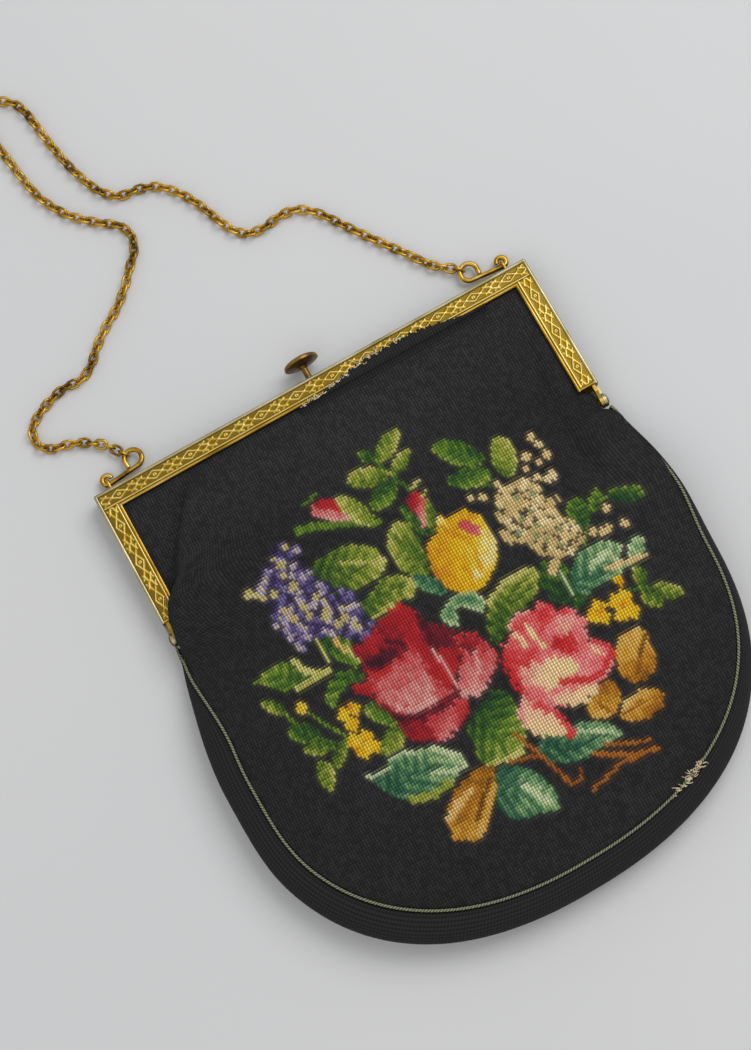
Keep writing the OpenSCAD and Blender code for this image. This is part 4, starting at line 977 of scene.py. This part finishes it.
def gusset_surface():
    """A band between the two seams: across it a half sine that bulges out to the widest line, with
    slow wrinkles along it, and a front edge that follows the slip of the front seam."""
    across = np.linspace(0, np.pi, GUSSET_COLS)
    x, v = (np.stack(g, 1) for g in zip(*[seam_line(1 - np.sin(a), 0.0) for a in across]))
    fx, fv = seam_line(1.0, 0.0)
    run = np.concatenate([[0], np.cumsum(np.hypot(np.diff(fx), np.diff(fv)))])
    top = edge_z(fv) - 0.9
    low = back_z(fv) + 1.2
    share = (1 - np.cos(across)) / 2
    z = mix(top[:, None], low[:, None], share)
    wrinkle = 0.35 * np.sin(run / 9)[:, None] * np.sin(across * 2) + 0.3 * np.sin(run / 23 + 1)[:, None]
    z = z + wrinkle * np.sin(across) ** 2
    px, py = seam_place(x, v, np.where(across < np.pi / 2, 1 - np.sin(across), 0))
    points = np.stack([px, py, z], -1)
    girth = np.arange(GUSSET_COLS) * GUSSET_STEP
    return points, run, np.broadcast_to(girth, x.shape)


gusset_points, gusset_run, gusset_girth = gusset_surface()
rows, cols = gusset_points.shape[:2]
gusset_faces = quads(rows, cols)
gusset = piece("gusset_cloth", gusset_points, gusset_faces, black_wool, "bag", None)
lay_uv(gusset, gusset_girth.ravel() / STITCH, np.repeat(gusset_run, cols) / STITCH_H)
thicken(gusset, BACK_WALL)
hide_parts("gusset")

# Length in scene units of one band of a wave texture at scale 1
WAVE = 0.315

# Braid: two olive strands of mercerised cotton twisted over a cord
BRAID_R = 0.5
BRAID_PITCH = 1.8
BRAID_STEP = 0.55
BRAID_SIDES = 10
BRAID_IN = 0.55
STRAND_GAP = 0.9


def braid_material():
    """Olive cotton: slanting strands 0.9 mm apart on the piece's own UV map, painted light on the crest of
    each strand and dark between strands as painted highlight and shade.
    """
    material, tree, shader = new_material("olive_cotton_braid")
    uv = add(tree, "UVMap", {"uv_map": "stitches"}).outputs["UV"]
    lay = add(tree, "Mapping", {}, {"Vector": uv, "Rotation": (0, 0, np.radians(35))})
    strand = add(tree, "TexWave", {"wave_type": "BANDS", "bands_direction": "X"},
                 {"Vector": lay.outputs["Vector"], "Scale": WAVE / STRAND_GAP, "Distortion": 1.0,
                  "Detail": 1.0})
    # Light on each strand's crest and dark in the grooves: painted highlight and shade
    tone = add(tree, "ValToRGB", {}, {"Fac": strand.outputs["Fac"]},
               [(0.0, "#3C402C"), (1.0, "#94977A"), (0.5, "#6A6E50")])
    bump = add(tree, "Bump", {}, {"Strength": 0.5, "Distance": 0.0002, "Height": strand.outputs["Fac"]})
    wire(tree, shader, {"Base Color": tone.outputs["Color"], "Roughness": 0.8,
                        "Normal": bump.outputs["Normal"]})
    return material


olive = braid_material()


def braid(name, height, shift, node):
    """A twisted tube along the seam: its radius swells twice round the ring, and the swell turns as it
    goes along."""
    x, v = seam_line(1.0, BRAID_IN)
    path = np.stack([*seam_place(x, v, shift), height(v)], -1)
    length = along(path, 0)[1]
    path = along(path, np.arange(0, length, BRAID_STEP))[0]
    a = np.linspace(0, 2 * np.pi, BRAID_SIDES, endpoint=False)
    s = np.arange(len(path)) * BRAID_STEP
    radius = BRAID_R * (1 + 0.16 * np.cos(2 * a[None, :] - 2 * np.pi * s[:, None] / BRAID_PITCH))
    points, faces, caps = tube(path, radius, BRAID_SIDES)
    obj = piece(name, points, faces, olive, "bag", None, caps)
    lay_uv(obj, np.repeat(s, BRAID_SIDES), np.tile(a * BRAID_R, len(path)))
    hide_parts(node)


braid("front_braid", lambda v: edge_z(v) - 0.15, 1.0, "front_piping")
braid("back_braid", lambda v: back_z(v) + 0.7, 0.0, "back_piping")


# Lining: cream satin, with fine ribs and soft creases
LINING_RIB = 3.78
LINING_STEP = 3.4
LINING_IN = 1.6


def lining_material():
    """Cream silk satin: ribs drawn 3.8 mm apart, far coarser than its threads so
    that they show, with pale and yellowed patches."""
    material, tree, shader = new_material("cream_silk_satin")
    spot = add(tree, "TexCoord").outputs["Object"]
    age = add(tree, "TexNoise", {}, {"Vector": spot, "Scale": 1000 / 25, "Detail": 3.0})
    tone = add(tree, "ValToRGB", {}, {"Fac": age.outputs["Fac"]},
               [(0.3, "#C8B48E"), (0.75, "#E4D8BE"), (0.5, "#D8CAA8")])
    weave = add(tree, "TexWave", {"wave_type": "BANDS", "bands_direction": "X"},
                {"Vector": spot, "Scale": 1000 * WAVE / LINING_RIB, "Distortion": 0.6})
    bump = add(tree, "Bump", {}, {"Strength": 0.25, "Distance": 0.0001, "Height": weave.outputs["Fac"]})
    wire(tree, shader, {"Base Color": tone.outputs["Color"], "Roughness": 0.45, "Sheen Weight": 0.2,
                        "Normal": bump.outputs["Normal"]})
    return material


satin = lining_material()
lining_u, lining_v, lining_eu, lining_ev, lining_faces = panel_grid(LINING_STEP, LINING_STEP, LINING_IN)
tuck = 0.3 * np.sin(lining_eu / 7 + np.sin(lining_ev / 19))
inner = front_point(lining_u, lining_v, -2.0, 0.0) + np.stack([0 * tuck, 0 * tuck, tuck - 0.3], -1)
front_lining = piece("front_lining_cloth", inner, lining_faces, satin, None, (0, 0, -1))
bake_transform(front_lining)
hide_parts("mouth_lining")
outer = np.stack([lining_u, TOP_Y - lining_v, back_z(lining_v) + 1.9 + tuck], -1)
rise = smooth((np.abs(lining_u) / any_half(lining_v) - 0.93) / 0.07) * ease(lining_v, 70, 30)
outer[:, 2] = mix(outer[:, 2], inner[:, 2] - 1.5, rise)
back_lining = piece("back_lining_cloth", outer, lining_faces, satin, "bag", (0, 0, 1))
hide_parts("lining")
for obj in (front_lining, back_lining):
    thicken(obj, LINING_WALL)


# Stamped band: diamonds and leaves in relief
def stamped_gilt():
    """Stamped gilt strip: bright on the raised ornament, dark gold in the ground as tarnish and painted
    shade, by its own relief.
    """
    material, tree, shader = new_material("stamped_gilt_band")
    spot = add(tree, "TexCoord").outputs["Object"]
    relief = add(tree, "Attribute", {"attribute_name": "relief"})
    patches = add(tree, "TexNoise", {}, {"Vector": spot, "Scale": 1000 / 9, "Detail": 4.0})
    sway = add(tree, "MapRange", {}, {"Value": patches.outputs["Fac"], "To Min": -0.3, "To Max": 0.3})
    level = add(tree, "Math", {"operation": "ADD"}, {0: relief.outputs["Fac"], 1: sway.outputs["Result"]})
    # Low relief takes the dark gold: tarnish, and painted shade in the hollows
    tone = add(tree, "ValToRGB", {}, {"Fac": level.outputs["Value"]},
               [(0.05, "#866A22"), (0.95, "#DCC878"), (0.4, "#A88A34"), (0.7, "#C8A848")])
    grain = add(tree, "TexNoise", {}, {"Vector": spot, "Scale": 1000 / 0.4, "Detail": 2.0})
    bump = add(tree, "Bump", {}, {"Strength": 0.2, "Distance": 0.0001, "Height": grain.outputs["Fac"]})
    wire(tree, shader, {"Base Color": tone.outputs["Color"], "Metallic": 1.0, "Roughness": 0.38,
                        "Normal": bump.outputs["Normal"]})
    return material


STRIP_HALF = 2.72
STRIP_LOW = 0.12
STRIP_TOP = 0.44
STRIP_GAP = 0.03
STRIP_END = 1.0
MOTIF_OUT = 0.4
BEAD_R = 0.42
BAR_MOTIFS = 12
ARM_MOTIFS = 3


def ridge(off, wide):
    """A round ridge: a half ellipse across the distance from its line."""
    return np.sqrt(np.clip(1 - (off / wide) ** 2, 0, 1))


def motif_height(s, w, step):
    """Relief of the band, 0 to 1: s runs along it from the middle of a diamond, w across it. An open
    diamond with an eye, four leaves that spring from its ends, and a bead along the inner edge."""
    s = (s + step / 2) % step - step / 2
    w = w - MOTIF_OUT
    far = np.abs(s) / 4.0 + np.abs(w) / 1.95
    frame_line = ridge(far - 0.8, 0.2)
    eye = ridge(np.hypot(s / 1.1, w) - 0.42, 0.3)
    mid = step / 2 - np.abs(s)
    bough = ridge(np.abs(w) - 0.35 - 0.42 * mid, 0.5) * (mid < 3.0) * (mid > 0.1)
    vane = ridge(np.abs(w) - 1.75 + 0.5 * (mid - 1), 0.42) * (mid < 4.4) * (mid > 0.6)
    star = ridge(np.hypot(mid, w), 0.6)
    bead = ridge(w + MOTIF_OUT + STRIP_HALF - BEAD_R, BEAD_R)
    return np.max([frame_line, 0.85 * eye, 0.85 * bough, 0.75 * vane, star, bead], axis=0)


def relief_run(start, ahead, inward, length, pitch, count):
    """One straight run of the strip: a grid along and across it, raised by the motif and closed below."""
    s = np.linspace(0, length, int(length / pitch) + 1)
    w = np.linspace(-STRIP_HALF, STRIP_HALF, int(2 * STRIP_HALF / pitch) + 1)
    gs, gw = np.meshgrid(s, w, indexing="ij")
    step = length / count
    height = motif_height(gs - step / 2, gw, step)
    z = mix(STRIP_LOW, STRIP_TOP, height)
    plan = np.array(start, float) + gs[..., None] * np.array(ahead) - gw[..., None] * np.array(inward)
    rows, cols = gs.shape
    edge = np.concatenate([np.arange(cols), np.arange(1, rows) * cols + cols - 1,
                           (rows - 1) * cols + np.arange(cols - 2, -1, -1),
                           np.arange(rows - 2, 0, -1) * cols])
    top = np.concatenate([plan, z[..., None]], -1).reshape(-1, 3)
    foot = top[edge] * [1, 1, 0]
    a = np.arange(len(edge))
    b = np.roll(a, -1)
    skirt = np.stack([edge[b], edge[a], rows * cols + a, rows * cols + b], -1)
    faces = np.vstack([quads(rows, cols), skirt])
    level = np.concatenate([height.ravel(), np.zeros(len(edge))])
    return np.vstack([top, foot]), faces, level, [(rows * cols + a)[::-1].tolist()]


def relief_strip(name, node, body, pitch, sign):
    """The whole strip: the bar and the two arms, on the front or, turned over, on the rear half."""
    edge = RIM_W + STRIP_GAP + STRIP_HALF
    low_y = TOP_Y - BAND_END_V + STRIP_END
    bar_y = TOP_Y - edge
    arm = bar_y - STRIP_HALF - low_y
    x = FRAME_X - edge
    bar = 2 * (x + STRIP_HALF)
    runs = [relief_run((-bar / 2, bar_y), (1, 0), (0, -1), bar, pitch, BAR_MOTIFS)]
    for side in (1, -1):
        runs.append(relief_run((-side * x, low_y), (0, 1), (side, 0), arm, pitch, ARM_MOTIFS))
    points, faces, level, caps = [], [], [], []
    start = 0
    for run_points, run_faces, run_level, run_caps in runs:
        signed = facing_area(run_points, run_faces)[:, 2].sum() < 0
        faces.append((run_faces[:, ::-1] if signed else run_faces) + start)
        caps += [[i + start for i in (c[::-1] if signed else c)] for c in run_caps]
        points.append(run_points)
        level.append(run_level)
        start += len(run_points)
    points = np.vstack(points)
    points[:, 2] = MID_Z + sign * (BAND_FACE_Z - MID_Z + STRIP_GAP + points[:, 2])
    obj = piece(name, points, np.vstack(faces), stamped, body, (0, 0, sign), caps)
    obj.data.attributes.new("relief", "FLOAT", "POINT").data.foreach_set("value", np.concatenate(level))
    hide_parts(node)


stamped = stamped_gilt()
relief_strip("front_relief", "front_ornament", "front_half", 0.2, 1)
relief_strip("rear_relief", "rear_ornament", "bag", 0.3, -1)


# Frame: pale rubbed rim, gold lip, side walls painted dark olive as shade
def frame_gilt():
    """Gilt frame: by its own place, pale within 1.3 mm of the outer edge and gold inside; the walls that
    stand upright are painted dark olive as shade; slow noise dulls it all."""
    material, tree, shader = new_material("gilt_pressed_frame")
    spot = add(tree, "TexCoord").outputs["Object"]
    axis = add(tree, "SeparateXYZ", {}, {0: spot})
    out_x = add(tree, "Math", {"operation": "ABSOLUTE"}, {0: axis.outputs["X"]})
    from_x = add(tree, "Math", {"operation": "SUBTRACT"}, {0: FRAME_X * MM, 1: out_x.outputs["Value"]})
    from_y = add(tree, "Math", {"operation": "SUBTRACT"}, {0: TOP_Y * MM, 1: axis.outputs["Y"]})
    inset = add(tree, "Math", {"operation": "MINIMUM"},
                {0: from_x.outputs["Value"], 1: from_y.outputs["Value"]})
    rim = add(tree, "MapRange", {}, {"Value": inset.outputs["Value"], "From Min": (RIM_W - 0.2) * MM,
                                    "From Max": (RIM_W + 0.3) * MM, "To Min": 1.0, "To Max": 0.0})
    patches = add(tree, "TexNoise", {}, {"Vector": spot, "Scale": 1000 / 12, "Detail": 5.0})
    gold = add(tree, "ValToRGB", {}, {"Fac": patches.outputs["Fac"]},
               [(0.3, "#8A6C22"), (0.75, "#D8BC60"), (0.5, "#C09A38")])
    pale = add(tree, "ValToRGB", {}, {"Fac": patches.outputs["Fac"]},
               [(0.3, "#9A8E60"), (0.7, "#D0C8A8"), (0.5, "#BCB286")])
    face = add(tree, "Mix", {"data_type": "RGBA"},
               {0: rim.outputs["Result"], 6: gold.outputs["Color"], 7: pale.outputs["Color"]})
    # Walls that stand upright are painted dark olive: painted shade
    normal = add(tree, "NewGeometry").outputs["Normal"]
    lift = add(tree, "SeparateXYZ", {}, {0: normal})
    steep = add(tree, "Math", {"operation": "ABSOLUTE"}, {0: lift.outputs["Z"]})
    wall = add(tree, "MapRange", {}, {"Value": steep.outputs["Value"], "From Min": 0.1,
                                               "From Max": 0.45, "To Min": 1.0, "To Max": 0.0})
    tone = add(tree, "Mix", {"data_type": "RGBA"},
               {0: wall.outputs["Result"], 6: face.outputs[2], 7: ink("#5E5734")})
    grain = add(tree, "TexNoise", {}, {"Vector": spot, "Scale": 1000 / 0.6, "Detail": 2.0})
    haze = add(tree, "MapRange", {}, {"Value": grain.outputs["Fac"], "To Min": 0.28, "To Max": 0.5})
    bump = add(tree, "Bump", {}, {"Strength": 0.1, "Distance": 0.0001, "Height": grain.outputs["Fac"]})
    wire(tree, shader, {"Base Color": tone.outputs[2], "Metallic": 1.0, "Roughness": haze.outputs["Result"],
                        "Normal": bump.outputs["Normal"]})
    return material


frame_metal = frame_gilt()
CAD_FINISH = {
    "front_frame": frame_metal, "rear_frame": frame_metal, "clasp_knob": shaded_knob_gilt,
    "hinge_pin_left": pin_gilt, "hinge_pin_right": pin_gilt, "clasp_guide": pin_gilt,
    "clasp_latch": steel, "clasp_striker": steel,
    "chain_lug_left": wire_gilt, "chain_lug_right": wire_gilt, "chain_hook_left": wire_gilt,
    "chain_hook_right": wire_gilt, "chain_ring_left": wire_gilt, "chain_ring_right": wire_gilt,
}
for name, material in CAD_FINISH.items():
    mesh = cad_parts[name].data
    mesh.materials.clear()
    mesh.materials.append(material)


# Clasp spring: the solid's own coil again
SPRING_WIRE = 0.3
SPRING_TURNS = 4
SPRING_STEPS = 16
SPRING_SIDES = 8


def clasp_coil():
    """A helix of round wire inside the solid's box, round the knob's stem."""
    low, high = (np.array(corner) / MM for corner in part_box("clasp_spring"))
    middle = (low + high) / 2
    turn = np.linspace(0, 2 * np.pi * SPRING_TURNS, SPRING_STEPS * SPRING_TURNS + 1)[:, None]
    a = np.linspace(0, 2 * np.pi, SPRING_SIDES, endpoint=False)[None, :]
    r = (high[0] - low[0] - SPRING_WIRE) / 2 + SPRING_WIRE / 2 * np.cos(a)
    rise = mix(low[1] + SPRING_WIRE / 2, high[1] - SPRING_WIRE / 2, turn / turn[-1])
    y = rise - SPRING_WIRE / 2 * np.sin(a)
    points = np.stack([middle[0] + r * np.cos(turn), y, middle[2] + r * np.sin(turn)], -1)
    faces = quads(len(turn), SPRING_SIDES, True)
    coil = piece("clasp_coil", points, faces, steel, "front_half", None,
                 end_caps(len(turn), SPRING_SIDES))
    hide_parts("clasp_spring")
    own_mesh(coil)


clasp_coil()


# Frayed cotton: matt cream strands, paler where they are rubbed
def frayed_thread(name, dark, pale):
    """Frayed thread: a matt strand, paler in places."""
    material, tree, shader = new_material(name)
    spot = add(tree, "TexCoord").outputs["Object"]
    mottle = add(tree, "TexNoise", {}, {"Vector": spot, "Scale": 1000 / 1.5, "Detail": 2.0})
    tone = add(tree, "ValToRGB", {}, {"Fac": mottle.outputs["Fac"]}, [(0.35, dark), (0.65, pale)])
    wire(tree, shader, {"Base Color": tone.outputs["Color"], "Roughness": 0.9})
    return material


cream_thread = frayed_thread("frayed_cream_cotton", "#A89468", "#E2D8BC")

# Worn edge: cloth that has crept over the lip onto the band
WORN_LEFT = -9
WORN_RIGHT = 69
WORN_COLS = 260
WORN_ROWS = 12
WORN_LOW_V = 11.5
OVER_LIP_Z = 10.95
ON_BAND_Z = 10.75


def ragged_top(x):
    """How high the worn edge stands over the band: one slow hump with small teeth."""
    hump = ease(x, -6, 30) * (1 - ease(x, 38, 28))
    teeth = 0.35 * np.sin(x * 1.7) + 0.3 * np.sin(x * 3.9 + 1) + 0.25 * np.sin(x * 7.3 + 2)
    return 8.3 - 4.2 * hump + teeth * (0.3 + hump)


def worn_edge():
    """A strip of the front cloth that has crept over the lip: from the cloth, up over the lip and down on
    the band, with a toothed upper edge."""
    x = np.linspace(WORN_LEFT, WORN_RIGHT, WORN_COLS)[:, None]
    t = np.linspace(0, 1, WORN_ROWS)[None, :]
    v = mix(WORN_LOW_V, ragged_top(x), t)
    on_cloth = front_z(np.broadcast_to(x, v.shape), v) + 0.1
    over = mix(OVER_LIP_Z, ON_BAND_Z, smooth((6.6 - v) / 1.5))
    z = mix(on_cloth, over, smooth((10.2 - v) / 1.9))
    z = z + 0.12 * np.sin(x * 1.3) * np.sin(np.pi * t)
    return np.stack([np.broadcast_to(x, v.shape), TOP_Y - v, z], -1), np.broadcast_to(x, v.shape), v


edge_points, edge_x, edge_v = worn_edge()
edge_faces = quads(WORN_COLS, WORN_ROWS)
edge_cloth = piece("worn_cloth_edge", edge_points, edge_faces, black_wool, "front_half",
                   (0, 0, 1))
lay_uv(edge_cloth, edge_x.ravel() / STITCH, edge_v.ravel() / STITCH_H)
thicken(edge_cloth, WORN_WALL)

# Loose threads along the worn edge and at the torn seam
THREAD_RINGS = 7
THREAD_SIDES = 5


def strands(name, start, end, lift, radius, material, body):
    """Many short bent threads at once: each is a parabola from start to end, raised in its middle, with a
    round section that thins to its tip."""
    t = np.linspace(0, 1, THREAD_RINGS)[None, :, None]
    bow = rng.uniform(-0.6, 0.6, (len(start), 1, 2))
    path = start[:, None] + (end - start)[:, None] * t
    path = path + 4 * t * (1 - t) * np.concatenate([bow, np.full((len(start), 1, 1), lift)], -1)
    ahead = unit(np.gradient(path, axis=1))
    side = unit(np.cross(ahead, [0.12, 0.2, 1.0]))
    above = np.cross(side, ahead)
    a = np.linspace(0, 2 * np.pi, THREAD_SIDES, endpoint=False)
    ring = np.cos(a)[:, None] * side[:, :, None] + np.sin(a)[:, None] * above[:, :, None]
    thin = radius * (1 - 0.5 * t[..., None])
    points = path[:, :, None] + thin * ring
    first = np.arange(len(start)) * THREAD_RINGS * THREAD_SIDES
    faces = (quads(THREAD_RINGS, THREAD_SIDES, True)[None] + first[:, None, None]).reshape(-1, 4)
    caps = [cap for at in first.tolist() for cap in end_caps(THREAD_RINGS, THREAD_SIDES, at)]
    return piece(name, points.reshape(-1, 3), faces, material, body, None, caps)


FRAYS = 60
FRAY_LEFT = -8
FRAY_RIGHT = 36
fray_x = rng.uniform(FRAY_LEFT, FRAY_RIGHT, FRAYS)
fray_v = ragged_top(fray_x)
fray_start = np.stack([fray_x, TOP_Y - fray_v - 0.4, np.full(FRAYS, OVER_LIP_Z)], -1)
fray_end = fray_start + np.stack([rng.uniform(-2.2, 2.2, FRAYS), rng.uniform(-0.6, 1.8, FRAYS),
                                  rng.uniform(0, 0.3, FRAYS)], -1)
bar_fray = strands("bar_fray_threads", fray_start, fray_end, 0.25, 0.2, cream_thread, "front_half")

TEARS = 40
TORN_LEFT = 37
TORN_RIGHT = 52
TORN_V = 150
seam_x, seam_v = seam_line(1.0, BRAID_IN)
seam_px, seam_py = seam_place(seam_x, seam_v, 1.0)
worn = np.flatnonzero((seam_x > TORN_LEFT) & (seam_x < TORN_RIGHT) & (seam_v > TORN_V))
spot = rng.choice(worn, TEARS)
tear_start = np.stack([seam_px[spot], seam_py[spot], edge_z(seam_v[spot]) + 0.35], -1)
tear_start[:, :2] += rng.uniform(-1.0, 1.0, (TEARS, 2))
tear_end = tear_start + np.stack([rng.uniform(-2.4, 2.4, TEARS), rng.uniform(-1.6, 1.6, TEARS),
                                  rng.uniform(-0.3, 0.3, TEARS)], -1)
seam_fray = strands("seam_fray_threads", tear_start, tear_end, 0.35, 0.24, cream_thread, "bag")

# Plain pale floor of matt paper, which shows soft shadows and no gloss, and soft light; sizes in metres
FLOOR_HALF = 3
FLOOR_Z = -0.0001
LAMP_AIM = (0.0, 0.03, 0.0)
floor_mesh = bpy.data.meshes.new("floor")
corners = [(x * FLOOR_HALF, y * FLOOR_HALF, FLOOR_Z) for x, y in ((-1, -1), (1, -1), (1, 1), (-1, 1))]
floor_mesh.from_pydata(corners, [], [(0, 1, 2, 3)])
floor = bpy.data.objects.new("floor", floor_mesh)
bpy.context.scene.collection.objects.link(floor)
paper, tree, shader = new_material("matt_white_paper")
spot = add(tree, "TexCoord").outputs["Object"]
cloud = add(tree, "TexNoise", {}, {"Vector": spot, "Scale": 3.0, "Detail": 2.0})
tone = add(tree, "ValToRGB", {}, {"Fac": cloud.outputs["Fac"]}, [(0.3, "#CFD0D1"), (0.7, "#D4D4D5")])
wire(tree, shader, {"Base Color": tone.outputs["Color"], "Roughness": 0.9, "Specular IOR Level": 0.1})
floor_mesh.materials.append(paper)

world = bpy.data.worlds.new("studio")
bpy.context.scene.world = world
world.use_nodes = True
world.node_tree.nodes["Background"].inputs["Color"].default_value = ink("#FFFFFF")
world.node_tree.nodes["Background"].inputs["Strength"].default_value = 0.55


def softbox(name, spot, size, power):
    """A square soft lamp that looks at the purse."""
    data = bpy.data.lights.new(name, "AREA")
    data.shape = "SQUARE"
    data.size = size
    data.energy = power
    lamp = bpy.data.objects.new(name, data)
    bpy.context.scene.collection.objects.link(lamp)
    spot = np.array(spot, float)
    back_way = unit(spot - np.array(LAMP_AIM))
    side = unit(np.cross([0.0, 1.0, 0.0], back_way))
    over = np.cross(back_way, side)
    turned = [[side[i], over[i], back_way[i], spot[i]] for i in range(3)]
    lamp.matrix_world = Matrix(turned + [[0, 0, 0, 1]])


softbox("key_softbox", (0.75, 0.35, 1.15), 0.9, 9.0)
softbox("fill_softbox", (-0.6, -0.5, 1.3), 1.1, 3.0)

bpy.context.scene.view_settings.view_transform = "Standard"
bpy.context.view_layer.update()
